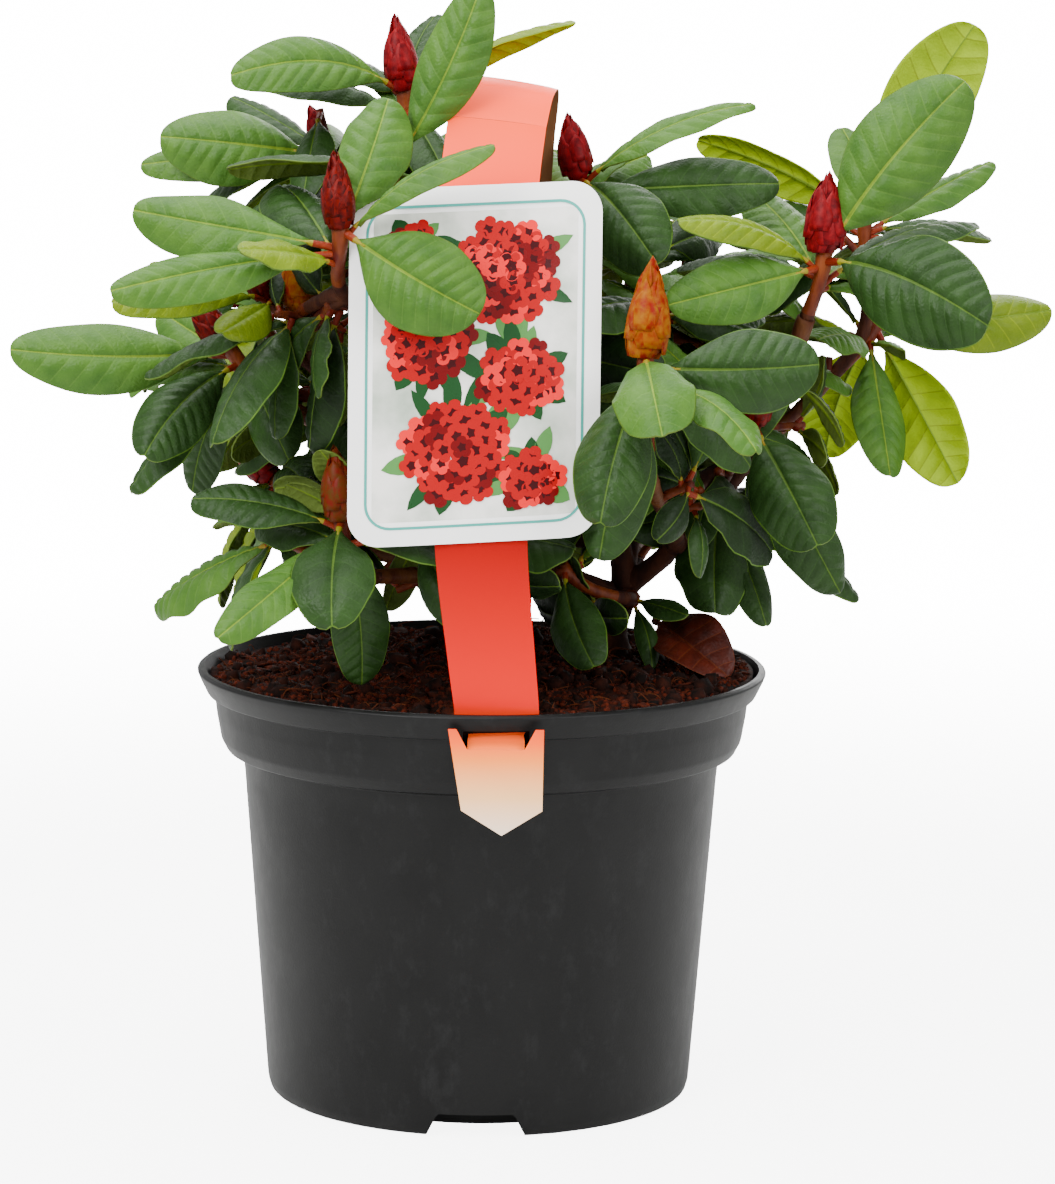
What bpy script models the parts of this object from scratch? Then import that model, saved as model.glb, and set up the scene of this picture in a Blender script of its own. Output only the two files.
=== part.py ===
# Potted dwarf rhododendron in winter bud: a black nursery pot of compost, a low spreading shrub whose
# shoots end in red flower buds over whorls of leaves, and a printed plant label on a carrying strap.
# Metres, +Z up. The front, with the label, faces -Y. The origin is the middle of the pot's underside.
# Named sizes are in millimetres and angles in degrees. A turn goes from +X towards +Y, a rise is
# measured from level, and a lean is (turn, tilt from upright).

import math
import random
from collections import namedtuple
from functools import partial

import bmesh
import bpy
from mathutils import Vector, noise
from mathutils.bvhtree import BVHTree

MM = 0.001
GAP = 0.3  # between neighbouring solids

# Pot
POT_HEIGHT = 143.0
LIP_RADIUS = 95.0  # outside, at the top edge
LIP_DEPTH = 8.5
LIP_FLARE = 3.5
COLLAR_RADIUS = 89.0
COLLAR_DEPTH = 20.0
BODY_TOP_RADIUS = 79.7
FOOT_RADIUS = 71.0
WALL = 1.3
CHANNEL = {"inner": 55.0, "outer": 67.5, "height": 7.0}  # drainage channel round the underside
NOTCH = {"width": 33.0, "top_width": 26.0, "height": 7.5, "turns": (-90.0, 30.0, 150.0)}
DRAIN_HOLES, DRAIN_HOLE_RADIUS = 6, 4.0
SLOT = {"width": 21.0, "height": 6.0}  # strap slot under the lip, front and back
ROUND_STEPS = 32

# Compost
SOIL_EDGE = 138.0  # height at the wall
SOIL_TOP = 147.0  # height of the flat that the trunk stands on
SOIL_FLAT = 15.0  # radius of that flat
SOIL_RINGS = (78.0, 64.0, 48.0, 30.0, 13.0)
SOIL_LUMP = 2.0

# Trunk, from its foot: (across, back, up) and radius
TRUNK_FOOT = (43.0, 10.0)
TRUNK_PATH = ((0, 0, 0), (0, 0, 2), (1, 0, 8), (3.5, -1, 17), (5, -2, 26))
TRUNK_RADII = (8.0, 6.6, 5.0, 4.6, 4.3)

# Label strap: x, y, z of its middle line, width, yaw and side slope there
STRAP_THICK = 0.6
STRAP_TAIL = ((5.6, -95.0, 130.0, 18, 0, 0), (5.6, -93.6, 132.4, 18, 0, 0), (5.6, -90.2, 134.2, 18, 0, 0),
              (5.6, -88.4, 136.6, 18, 0, 0), (5.6, -88.2, 139.6, 26, 0, 0))
STRAP_FRONT = ((5.6, -90.0, 144.8, 26.7, 0, 0), (4.0, -92.4, 160, 27.5, 2, 0), (0.5, -93.5, 195, 29, 7, 0),
               (0.0, -93.5, 230, 30, 9, 0), (0.3, -91.5, 262, 30.5, 9, 0), (0.8, -86.0, 292, 31, 8, 0),
               (2.2, -76.0, 312, 31, 6, 3), (4.0, -65.0, 327, 31, 4, 6))
STRAP_CREST = ((4.0, -65.0, 327, 31, 4, 6), (6.0, -53.5, 336, 31, 2, 8), (7.8, -40.0, 338.5, 31, 0, 8),
               (8.0, -27.0, 333.5, 31, 0, 6), (7.0, -18.0, 323, 31, 0, 4))
STRAP_BACK = ((7.0, -18.0, 323, 31, 0, 4), (5.5, 0.0, 296, 31, 0, 2), (4.0, 30.0, 248, 30, 0, 0),
              (3.0, 60.0, 202, 29, 0, 0), (3.0, 81.0, 168, 27.5, 0, 0), (3.0, 90.0, 144.8, 26.7, 0, 0))
TAIL = {"top": 15.1, "hook": 2.7, "throat": 9.0, "throat_drop": 6.5,
        "shoulder": 12.8, "drop": 26.0, "tip": 8.0}

# Label card, hung on the strap's front
CARD = {"width": 79.0, "height": 110.0, "corner": 10.0, "middle": (-2.0, 253.0), "thick": 0.5, "rise": 2.5,
        "bends": (230.0, 262.0, 277.0, 292.0), "flat": 17.0, "bow_radius": 110.0}

FALLEN_LEAF = {"root": (60, 8, 158), "tip": (79, -16, 149), "upper": (0.1, -0.75, 0.65),
               "width": 21.0, "arch": 0.14}

# Boughs: what each springs from, its radii, and the points of its middle line up to the foliage's stem
BOUGHS = {
    "bough_right_low": ("trunk", 3.4, 2.6, ((47, 9, 168), (60, 0, 180), (71, -10, 196), (80, -20, 212))),
    "bough_left_low": ("trunk", 3.2, 2.4, ((46, 9, 165), (22, -8, 176), (-10, -42, 180), (-34, -70, 183))),
    "bough_centre": ("trunk", 3.8, 2.4,
        ((48, 8, 170), (44, 4, 190), (32, -6, 232), (24, -16, 268), (26, -21, 286))),
    "bough_back": ("trunk", 3.2, 2.4, ((47, 9, 166), (50, 32, 182), (52, 58, 208), (56, 70, 232))),
    "bough_right": ("bough_right_low", 3.2, 3.0,
        ((66, -5, 188), (86, -4, 212), (98, -12, 240), (105, -19, 262))),
    "bough_right_back": ("bough_back", 2.8, 2.4,
        ((50, 36, 185), (74, 42, 200), (100, 44, 218), (118, 46, 236))),
    "bough_centre_right": ("bough_right_low", 2.8, 2.3,
        ((64, -3, 185), (62, -30, 196), (55, -62, 210), (51, -82, 230))),
    "bough_left": ("bough_left_low", 2.8, 2.3,
        ((20, -10, 176), (-10, -16, 196), (-42, -22, 218), (-66, -26, 234))),
    "bough_left_upper": ("bough_centre", 2.6, 2.3,
        ((36, -3, 218), (8, -26, 236), (-22, -56, 254), (-40, -76, 270))),
    "bough_top": ("bough_centre", 2.6, 2.3,
        ((29, -9, 242), (8, -10, 268), (-12, -10, 290), (-22, -11, 310))),
    "bough_back_left": ("bough_back", 2.6, 2.2,
        ((49, 28, 179), (14, 42, 184), (-28, 56, 206), (-52, 66, 228))),
    "bough_back_centre": ("bough_back", 2.4, 2.2,
        ((51, 46, 195), (44, 76, 200), (24, 98, 206), (4, 100, 228))),
    "bough_heart": ("bough_centre", 2.4, 2.2, ((41, 1, 204), (46, 16, 222), (48, 28, 250))),
    "bough_front_low": ("bough_left_low", 2.0, 1.8, ((12, -17, 177), (0, -32, 185), (-11, -48, 190))),
    "bough_low_right": ("trunk", 2.2, 1.8, ((47, 10, 168), (60, 17, 176), (71, 16, 187))),
    "bough_foot": ("trunk", 1.7, 1.4, ((47, 9, 162), (49, 0, 165))),
    "bough_low_back": ("trunk", 2.6, 2.1, ((46, 10, 161), (52, 46, 168), (54, 84, 175))),
    "bough_low_left_back": ("trunk", 2.6, 2.1,
        ((45, 11, 163), (10, 34, 167), (-32, 52, 171), (-54, 60, 180))),
}

# Leaves are (turn, rise, length, width, arch, facing). Arch lifts the middle, as a share of the length.
# Facing 1 turns the upper side to the front, and below 0 turns it away.
Leaf = namedtuple("Leaf", "root tip upper width arch")
LEAF_THICK = 1.3
PETIOLE_WIDE = 2.2
LEAF_STATIONS = ((0.0, 0.0), (0.16, 0.28), (0.38, 0.95), (0.70, 0.95), (0.92, 0.52))  # along, share of width
LEAF_DROOP = 0.10  # how far the edges lie below the midrib, as a share of the width
WHORL_DEPTH = 13.0  # length of shoot that a whorl's petioles leave
ROOT_OFFSET = 0.9  # of a petiole's root from the middle of the shoot

# Each mass of foliage: the bough that carries it, and its shoots. at is the foot of the shoot's bud.
FOLIAGE = {
    "foliage_top": ("bough_top", [
        {"at": (-27, -12, 335), "lean": (180, 7), "bud": (24, 12), "fill": 3, "leaves": [
            (-160, 5, 58, 22, 0.16, 0.55), (130, 8, 52, 18, 0.05, 0.2), (9, 23, 60, 18, 0.05, -0.3),
            (81, 28, 46, 20, 0.05, 0)]},
        {"at": (-28, -66, 314), "lean": (60, 20), "bud": None, "fill": 2, "leaves": [
            (6, 50, 62, 21, 0.06, 0.8)]},
        {"at": (-54, 10, 313), "lean": (160, 18), "bud": (16, 8), "fill": 4, "leaves": [
            (-175, 5, 54, 27, 0.08, 0.75), (136, 18, 48, 16, 0.05, 0.2), (172, -6, 62, 17, 0.03, 0.5),
            (40, 30, 34, 16, 0.05, 0.3)]},
        {"at": (-30, 16, 272), "lean": (140, 24), "bud": None, "fill": 6, "leaves": []},
    ]),
    "foliage_left_upper": ("bough_left_upper", [
        {"at": (-44, -95, 296), "lean": (180, 4), "bud": (24, 12), "fill": 1, "leaves": [
            (-14, -30, 52, 31, 0.12, 0.85), (61, 53, 48, 23, 0.08, 0.7), (-8, 30, 54, 14, 0.08, 0.3),
            (168, 2, 66, 22, 0.08, 0.6), (-173, -15, 74, 19, 0.06, 0.5), (160, -14, 66, 17, 0.03, 0.3),
            (-140, -8, 38, 15, 0.05, 0.5)]},
        {"at": (-57, -58, 265), "lean": (150, 12), "bud": (24, 12), "fill": 5, "leaves": []},
        {"at": (-69, -50, 270), "lean": (190, 35), "bud": (14, 9), "fill": 2, "leaves": [
            (-155, 0, 52, 16, 0.1, 0.5), (-119, -17, 32, 16, 0.06, 0.7)]},
    ]),
    "foliage_left": ("bough_left", [
        {"at": (-83, -30, 252), "lean": (185, 38), "bud": (20, 11), "fill": 2, "leaves": [
            (-173, -1, 70, 24, 0.08, 0.75), (166, -9, 58, 18, 0.05, 0.6), (133, 14, 36, 18, 0.05, 0.4),
            (-126, -38, 52, 23, 0.08, 0.8), (122, -65, 56, 18, 0.04, 0.6), (-52, -44, 48, 19, 0.1, 0.7)]},
        {"at": (-52, -12, 238), "lean": (180, 20), "bud": None, "fill": 7, "leaves": []},
    ]),
    "foliage_left_low": ("bough_left_low", [
        {"at": (-44, -78, 203), "lean": (180, 5), "bud": (23, 12), "fill": 3, "leaves": [
            (-92, -43, 44, 27, 0.15, 0.9), (174, 5, 48, 18, 0.1, 0.4), (-137, -34, 60, 17, 0.08, 0.6),
            (53, -70, 56, 19, 0.04, 0.7), (142, -9, 36, 18, 0.08, 0.5)]},
        {"at": (-66, -58, 196), "lean": (180, 55), "bud": None, "fill": 5, "leaves": []},
    ]),
    "foliage_front_low": ("bough_front_low", [
        {"at": (-22, -60, 198), "lean": (200, 20), "bud": None, "fill": 5, "leaves": [
            (-42, -48, 42, 17, 0.05, 0.7)]},
    ]),
    "foliage_centre_top": ("bough_centre", [
        {"at": (30, -14, 307), "lean": (180, 10), "bud": (21, 12), "fill": 3, "leaves": [
            (-55, -30, 50, 26, 0.15, 0.85), (0, 22, 62, 15, 0.12, 0.35), (4, -2, 66, 22, 0.12, 0.7),
            (49, 7, 36, 16, 0.05, 0.5), (100, 5, 50, 20, 0.08, 0.2)]},
    ]),
    "foliage_centre_right": ("bough_centre_right", [
        {"at": (51, -88, 256), "lean": (0, 3), "bud": (29, 14), "fill": 2, "leaves": [
            (-84, -26, 46, 26, 0.15, 0.95), (0, -2, 54, 27, 0.08, 0.8), (-117, -58, 58, 24, 0.1, 0.85),
            (15, -45, 50, 19, 0.05, 0.6), (170, -78, 66, 24, 0.0, 0.8)]},
    ]),
    "foliage_right": ("bough_right", [
        {"at": (110, -22, 284), "lean": (0, 2), "bud": (23, 13), "fill": 4, "leaves": [
            (-34, 47, 76, 32, 0.12, 0.85), (-39, -17, 66, 35, 0.12, 0.8), (-156, -16, 58, 23, 0.1, 0.75),
            (-154, 13, 54, 15, 0.1, 0.4), (122, 23, 46, 20, 0.05, 0.4)]},
    ]),
    "foliage_right_back": ("bough_right_back", [
        {"at": (134, 50, 255), "lean": (30, 30), "bud": (16, 9), "fill": 3, "leaves": [
            (20, 2, 66, 22, 0.05, 0.7), (-50, -52, 66, 26, 0.05, -0.8), (120, -58, 58, 26, 0.02, -0.8),
            (-87, -65, 62, 20, 0.05, 0.7)]},
        {"at": (128, 40, 293), "lean": (60, 12), "bud": (18, 10), "fill": 3, "leaves": [
            (0, 61, 72, 30, 0.05, -0.85), (153, 20, 66, 18, 0.1, -0.55), (112, 43, 40, 18, 0.05, 0.4),
            (35, 14, 58, 16, 0.05, 0.4)]},
    ]),
    "foliage_right_low": ("bough_right_low", [
        {"at": (88, -30, 229), "lean": (-60, 25), "bud": (17, 10), "fill": 3, "leaves": [
            (-57, -45, 50, 27, 0.08, 0.85), (20, -61, 66, 22, 0.05, 0.7), (46, -28, 32, 14, 0.05, 0.5)]},
    ]),
    "foliage_low_right": ("bough_low_right", [
        {"at": (80, 14, 198), "lean": (10, 25), "bud": None, "fill": 3, "leaves": [
            (-105, -49, 46, 25, 0.1, 0.9), (-59, -49, 48, 16, 0.05, 0.6), (-150, -20, 36, 16, 0.05, 0.6)]},
    ]),
    "foliage_foot": ("bough_foot", [
        {"at": (50, -6, 168), "lean": (-60, 30), "bud": None, "fill": 0, "leaves": [
            (-34, -13, 22, 10, 0.05, 0.4), (-60, -60, 26, 8, 0.05, 0.4)]},
        {"at": (26, -24, 180), "lean": (200, 40), "bud": None, "fill": 3, "leaves": [
            (-70, -42, 42, 18, 0.05, 0.8)]},
    ]),
    "foliage_heart": ("bough_heart", [
        {"at": (50, 32, 276), "lean": (40, 10), "bud": (20, 11), "fill": 8, "leaves": []},
        {"at": (84, 26, 250), "lean": (15, 25), "bud": None, "fill": 6, "leaves": []},
        {"at": (58, -10, 264), "lean": (-50, 15), "bud": None, "fill": 6, "leaves": []},
    ]),
    "foliage_back_left": ("bough_back_left", [
        {"at": (-84, 62, 258), "lean": (160, 35), "bud": (20, 11), "fill": 8, "leaves": []},
        {"at": (-60, 98, 226), "lean": (120, 50), "bud": (22, 12), "fill": 8, "leaves": []},
        {"at": (-44, 60, 292), "lean": (130, 18), "bud": (22, 12), "fill": 8, "leaves": []},
    ]),
    "foliage_back_centre": ("bough_back_centre", [
        {"at": (-6, 98, 268), "lean": (110, 15), "bud": (22, 12), "fill": 8, "leaves": []},
        {"at": (16, 120, 232), "lean": (85, 55), "bud": (20, 11), "fill": 8, "leaves": []},
    ]),
    "foliage_back_right": ("bough_back", [
        {"at": (72, 82, 284), "lean": (60, 14), "bud": (23, 12), "fill": 8, "leaves": []},
        {"at": (98, 92, 240), "lean": (45, 45), "bud": (20, 11), "fill": 8, "leaves": []},
    ]),
    "foliage_low_back": ("bough_low_back", [
        {"at": (56, 104, 184), "lean": (80, 62), "bud": (18, 10), "fill": 7, "leaves": []},
    ]),
    "foliage_low_left_back": ("bough_low_left_back", [
        {"at": (-74, 68, 196), "lean": (150, 58), "bud": (20, 11), "fill": 8, "leaves": []},
    ]),
}
FILL_LENGTH, FILL_SHAPE = (46.0, 62.0), (0.36, 0.42)  # length, and width as a share of it
FILL_RISE = (-12.0, 26.0)  # from square to the shoot
FILL_TRIES = 14
NUDGES = ((0, 0), (5, 0), (-5, 0), (0, 5), (0, -5), (9, 0), (-9, 0), (0, 9), (0, -9),
          (7, 7), (-7, 7), (-7, -7), (14, 0), (-14, 0), (0, 14))
CROWN = {"middle": (19, 0, 240), "reach": (174, 158, 121), "lowest": 153.0}  # bounds the leaf tips
TWIG_RADIUS, BRANCH_RADIUS, TWIG_SIDES = 2.3, 2.0, 4
SEED = 11

COLOURS = {
    "pot": (0.012, 0.013, 0.014), "soil": (0.055, 0.022, 0.012), "bark": (0.10, 0.035, 0.018),
    "leaf": (0.05, 0.14, 0.035), "dead leaf": (0.10, 0.03, 0.012), "strap": (0.86, 0.06, 0.03),
    "card": (0.85, 0.85, 0.82),
}


# --- Basics


def mm(x, y, z):
    return Vector((x, y, z)) * MM


def heading(turn, rise):
    turn, rise = math.radians(turn), math.radians(rise)
    return Vector((math.cos(rise) * math.cos(turn), math.cos(rise) * math.sin(turn), math.sin(rise)))


def make_material(name, colour, roughness):
    material = bpy.data.materials.new(name)
    material.use_nodes = True
    surface = material.node_tree.nodes["Principled BSDF"]
    surface.inputs["Base Color"].default_value = (*colour, 1)
    surface.inputs["Roughness"].default_value = roughness
    return material


def add_object(name, mesh, material, collection):
    obj = bpy.data.objects.new(name, mesh)
    collection.objects.link(obj)
    if material:
        mesh.materials.clear()
        mesh.materials.append(material)
    return obj


def mesh_from(name, bm):
    bmesh.ops.recalc_face_normals(bm, faces=bm.faces)
    mesh = bpy.data.meshes.new(name)
    bm.to_mesh(mesh)
    bm.free()
    return mesh


def evaluated_mesh(obj):
    graph = bpy.context.evaluated_depsgraph_get()
    return bpy.data.meshes.new_from_object(obj.evaluated_get(graph))


def drop(obj):
    bpy.data.objects.remove(obj)


def surface_tree(obj):
    # The object's evaluated surface, to test overlaps against.
    mesh = evaluated_mesh(obj)
    points, faces = [v.co.copy() for v in mesh.vertices], [tuple(p.vertices) for p in mesh.polygons]
    tree = BVHTree.FromPolygons(points, faces)
    bpy.data.meshes.remove(mesh)
    return tree


def smooth_path(points, per_span=2):
    # A Catmull-Rom curve through the points.
    points = [Vector(p) for p in points]
    padded = [2 * points[0] - points[1]] + points + [2 * points[-1] - points[-2]]
    path = []
    for a, b, c, d in zip(padded, padded[1:], padded[2:], padded[3:]):
        for step in range(per_span):
            t = step / per_span
            path.append(0.5 * (2 * b + (c - a) * t + (2 * a - 5 * b + 4 * c - d) * t**2
                               + (3 * b - a - 3 * c + d) * t**3))
    return path + [points[-1]]


def loft(name, rings, tip=None):
    # A closed skin over rings of points, with flat ends, or one end drawn to a tip.
    bm = bmesh.new()
    rows = [[bm.verts.new(point) for point in ring] for ring in rings]
    for row, after in zip(rows, rows[1:]):
        for i in range(len(row)):
            j = (i + 1) % len(row)
            bm.faces.new((row[i], row[j], after[j], after[i]))
    bm.faces.new(rows[0][::-1])
    if tip is None:
        bm.faces.new(rows[-1])
    else:
        end = bm.verts.new(tip)
        for i in range(len(rows[-1])):
            bm.faces.new((rows[-1][i], rows[-1][(i + 1) % len(rows[-1])], end))
    return mesh_from(name, bm)


def tube(name, path, radii, collection, material=None, sides=6):
    # A round limb along a path given in millimetres, as a curve turned into a mesh.
    curve = bpy.data.curves.new(name, "CURVE")
    curve.dimensions = "3D"
    curve.bevel_depth = MM
    curve.bevel_resolution = (sides - 4) // 2
    curve.use_fill_caps = True
    spline = curve.splines.new("POLY")
    spline.points.add(len(path) - 1)
    for point, place, radius in zip(spline.points, path, radii):
        point.co = (*(Vector(place) * MM), 1)
        point.radius = radius
    guide = bpy.data.objects.new(name + "_guide", curve)
    collection.objects.link(guide)
    mesh = evaluated_mesh(guide)
    drop(guide)
    bpy.data.curves.remove(curve)
    bm = bmesh.new()
    bm.from_mesh(mesh)
    bmesh.ops.remove_doubles(bm, verts=bm.verts, dist=1e-6)
    bmesh.ops.recalc_face_normals(bm, faces=bm.faces)
    bm.to_mesh(mesh)
    bm.free()
    return add_object(name, mesh, material, collection)


def boolean(obj, other, operation, solver="EXACT"):
    # Adds the modifier. The other is an object or a collection.
    modifier = obj.modifiers.new(operation.title(), "BOOLEAN")
    modifier.operation = operation
    modifier.solver = solver
    if isinstance(other, bpy.types.Collection):
        modifier.operand_type = "COLLECTION"
        modifier.collection = other
    else:
        modifier.object = other
    return modifier


def apply_modifiers(obj):
    mesh = evaluated_mesh(obj)
    obj.modifiers.clear()
    obj.data = mesh


def shade_round(obj, angle=35):
    obj.data.shade_smooth()
    obj.data.set_sharp_from_angle(angle=math.radians(angle))


def keep_main_body(mesh):
    # Fills the hollows and drops the scraps that fusing leaves.
    bm = bmesh.new()
    bm.from_mesh(mesh)
    bmesh.ops.triangulate(bm, faces=bm.faces)
    left, bodies = set(bm.faces), []
    while left:
        body, front = set(), [left.pop()]
        while front:
            face = front.pop()
            body.add(face)
            shared = [edge for edge in face.edges if len(edge.link_faces) == 2]
            near = {other for edge in shared for other in edge.link_faces} & left
            front += near
            left -= near
        bodies.append(body)
    main = max(bodies, key=len)
    bmesh.ops.delete(bm, geom=[face for face in bm.faces if face not in main], context="FACES")
    bm.to_mesh(mesh)
    bm.free()


# --- Pot, compost, label


def pot_profile():
    # Outside from the lip down, under the foot and the floor, then back up the inside: (radius, height).
    lip_base = LIP_RADIUS - LIP_FLARE
    ledge = POT_HEIGHT - LIP_DEPTH
    collar_base = ledge - COLLAR_DEPTH
    inner, outer, up = CHANNEL["inner"], CHANNEL["outer"], CHANNEL["height"]
    return [
        (LIP_RADIUS - 0.9, POT_HEIGHT), (LIP_RADIUS, POT_HEIGHT - 0.8), (lip_base, ledge),
        (COLLAR_RADIUS, ledge), (COLLAR_RADIUS - 2, collar_base + 5), (COLLAR_RADIUS - 4, collar_base + 1),
        (BODY_TOP_RADIUS, collar_base),
        (FOOT_RADIUS, 0.8), (FOOT_RADIUS - 0.8, 0), (outer + 0.6, 0), (outer, up),
        (inner + 1, up), (inner, 0), (0, 0), (0, WALL), (inner - 1, WALL), (inner, up + WALL),
        (outer + 1.4, up + WALL), (BODY_TOP_RADIUS - WALL, collar_base + WALL),
        (COLLAR_RADIUS - 5.2, collar_base + WALL + 1), (COLLAR_RADIUS - 3.3, collar_base + 5.5),
        (COLLAR_RADIUS - WALL, ledge + WALL), (lip_base - WALL, ledge + WALL), (LIP_RADIUS - 2.2, POT_HEIGHT),
    ]


def turned(name, profile, material, collection):
    # A profile turned round Z with a Screw modifier. A profile that touches the axis closes there.
    bm = bmesh.new()
    verts = [bm.verts.new(mm(radius, 0, height)) for radius, height in profile]
    for a, b in zip(verts, verts[1:]):
        bm.edges.new((a, b))
    if profile[0][0] > 0 or profile[-1][0] > 0:
        bm.edges.new((verts[-1], verts[0]))
    mesh = bpy.data.meshes.new(name)
    bm.to_mesh(mesh)
    bm.free()
    obj = add_object(name, mesh, material, collection)
    screw = obj.modifiers.new("Turn", "SCREW")
    screw.steps = screw.render_steps = ROUND_STEPS
    screw.use_merge_vertices = True
    screw.merge_threshold = 1e-5
    screw.use_smooth_shade = False
    return obj


def prism(name, corners, near, far, turn, collection):
    # A cutter: corners (across, up) pushed out from radius near to radius far, towards a turn.
    out = heading(turn, 0)
    across = Vector((-out.y, out.x, 0))
    rings = [[(across * a + out * radius + Vector((0, 0, up))) * MM for a, up in corners]
             for radius in (near, far)]
    return add_object(name, loft(name, rings), None, collection)


def make_pot(parts, cutters, material):
    pot = turned("pot", pot_profile(), material, parts)
    wide, top, high = NOTCH["width"] / 2, NOTCH["top_width"] / 2, NOTCH["height"]
    for i, turn in enumerate(NOTCH["turns"]):
        notch = prism(f"notch_{i}", ((-wide, -1), (wide, -1), (top, high), (-top, high)),
                      CHANNEL["outer"] - 2, FOOT_RADIUS + 3, turn, cutters)
        boolean(pot, notch, "DIFFERENCE")
    half, middle = SLOT["width"] / 2, POT_HEIGHT - LIP_DEPTH + 0.3
    low, high = middle - SLOT["height"] / 2, middle + SLOT["height"] / 2
    for name, turn, shift in (("slot_front", -90, STRAP_FRONT[0][0]), ("slot_back", 90, -STRAP_BACK[-1][0])):
        corners = ((shift - half, low), (shift + half, low), (shift + half, high), (shift - half, high))
        boolean(pot, prism(name, corners, COLLAR_RADIUS - 4, LIP_RADIUS + 2, turn, cutters), "DIFFERENCE")
    for i in range(DRAIN_HOLES):
        place = heading(360 / DRAIN_HOLES * i, 0) * (CHANNEL["inner"] + CHANNEL["outer"]) / 2
        bm = bmesh.new()
        bmesh.ops.create_cone(bm, cap_ends=True, segments=8, radius1=DRAIN_HOLE_RADIUS * MM,
                              radius2=DRAIN_HOLE_RADIUS * MM, depth=12 * MM)
        hole = add_object(f"drain_{i}", mesh_from(f"drain_{i}", bm), None, cutters)
        hole.location = mm(place.x, place.y, CHANNEL["height"])
        boolean(pot, hole, "DIFFERENCE")
    apply_modifiers(pot)
    for obj in list(cutters.objects):
        drop(obj)
    return pot


def soil_height(x, y):
    # A mound that peaks in a small flat under the trunk, with lumps that fade out towards the flat.
    foot = Vector((TRUNK_FOOT[0], TRUNK_FOOT[1], 0))
    away = (Vector((x, y, 0)) - foot).length
    if away < SOIL_FLAT:
        return SOIL_TOP
    fall = min(1.0, (away - SOIL_FLAT) / 90)
    lump = noise.noise(Vector((x, y, 0)) / 17) - 0.4
    left_back = max(0.0, -x + 0.4 * y) / 90
    return SOIL_TOP - 0.8 - 6 * fall + SOIL_LUMP * lump * min(1, fall * 4) - 3.5 * left_back * fall


def make_soil(parts, material):
    inside = COLLAR_RADIUS - WALL - 2 * GAP
    collar_base = POT_HEIGHT - LIP_DEPTH - COLLAR_DEPTH
    slope = (BODY_TOP_RADIUS - CHANNEL["outer"] - 1.4) / (collar_base - CHANNEL["height"])
    floor = CHANNEL["height"] + WALL + GAP
    profile = [(0, SOIL_EDGE)] + [(radius, SOIL_EDGE) for radius in reversed(SOIL_RINGS)]
    profile += [(inside - 1, SOIL_EDGE), (inside, SOIL_EDGE - 5), (COLLAR_RADIUS - 4.4, collar_base + 7),
                (BODY_TOP_RADIUS - WALL - 1.2, collar_base + 2.5),
                (CHANNEL["outer"] + slope * 2, floor), (0, floor)]
    soil = turned("compost", profile, material, parts)
    apply_modifiers(soil)
    for vert in soil.data.vertices:
        x, y, z = vert.co / MM
        if z > SOIL_EDGE - 1 and math.hypot(x, y) < inside - 2:
            vert.co.z = soil_height(x, y) * MM
    return soil


def make_fallen_leaf(soil, parts, material):
    # A withered leaf, let down until it lies just clear of the compost.
    place = FALLEN_LEAF
    root, tip, upper = (Vector(place[end]) for end in ("root", "tip", "upper"))
    leaf = Leaf(root, tip, upper, place["width"], place["arch"])
    obj = add_object("fallen_leaf", leaf_mesh(leaf), material, parts)
    ground = surface_tree(soil)
    drops = [vert.co.z - ground.ray_cast(vert.co, Vector((0, 0, -1)))[0].z for vert in obj.data.vertices]
    for vert in obj.data.vertices:
        vert.co.z -= min(drops) - GAP * MM
    return obj


def strap_section(x, y, z, width, yaw, slope, along):
    # Four corners of the band across its middle line.
    across = heading(yaw, -slope)
    out = across.cross(Vector(along)).normalized()
    middle = Vector((x, y, z))
    half, thick = across * width / 2, out * STRAP_THICK / 2
    return [(middle + p) * MM for p in (half + thick, -half + thick, -half - thick, half - thick)]


def band(name, points, material, collection, start_gap=0.0, end_gap=0.0):
    # A flat band through the points. Its ends can stop short, to clear the next length.
    places = [Vector(p[:3]) for p in points]
    first, last = (places[1] - places[0]).normalized(), (places[-1] - places[-2]).normalized()
    rings = []
    for i, (place, point) in enumerate(zip(places, points)):
        along = places[min(i + 1, len(places) - 1)] - places[max(i - 1, 0)]
        if i == 0:
            place = place + first * start_gap
        if i == len(places) - 1:
            place = place - last * end_gap
        rings.append(strap_section(*place, *point[3:], along))
    return add_object(name, loft(name, rings), material, collection)


def tail_plate(name, x, side, collection):
    # The hooked arrow end that hangs outside the lip. The hooks reach up in front of it.
    ledge = POT_HEIGHT - LIP_DEPTH
    top, inner = TAIL["top"], TAIL["top"] - TAIL["hook"]
    foot = ledge + 4.5 - TAIL["drop"]
    edge = ledge + 4.5
    outline = [(-top, edge), (-TAIL["shoulder"] + 2, foot), (2, foot - TAIL["tip"]),
               (TAIL["shoulder"] + 2, foot), (top, edge), (inner, edge),
               (TAIL["throat"], edge - TAIL["throat_drop"]), (-TAIL["throat"], edge - TAIL["throat_drop"]),
               (-inner, edge)]
    depths = (side * (LIP_RADIUS + 0.2), side * (LIP_RADIUS + 0.2 + STRAP_THICK + 0.2))
    rings = [[mm(x + a, y, z) for a, z in outline] for y in depths]
    return add_object(name, loft(name, rings), None, collection)


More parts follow.
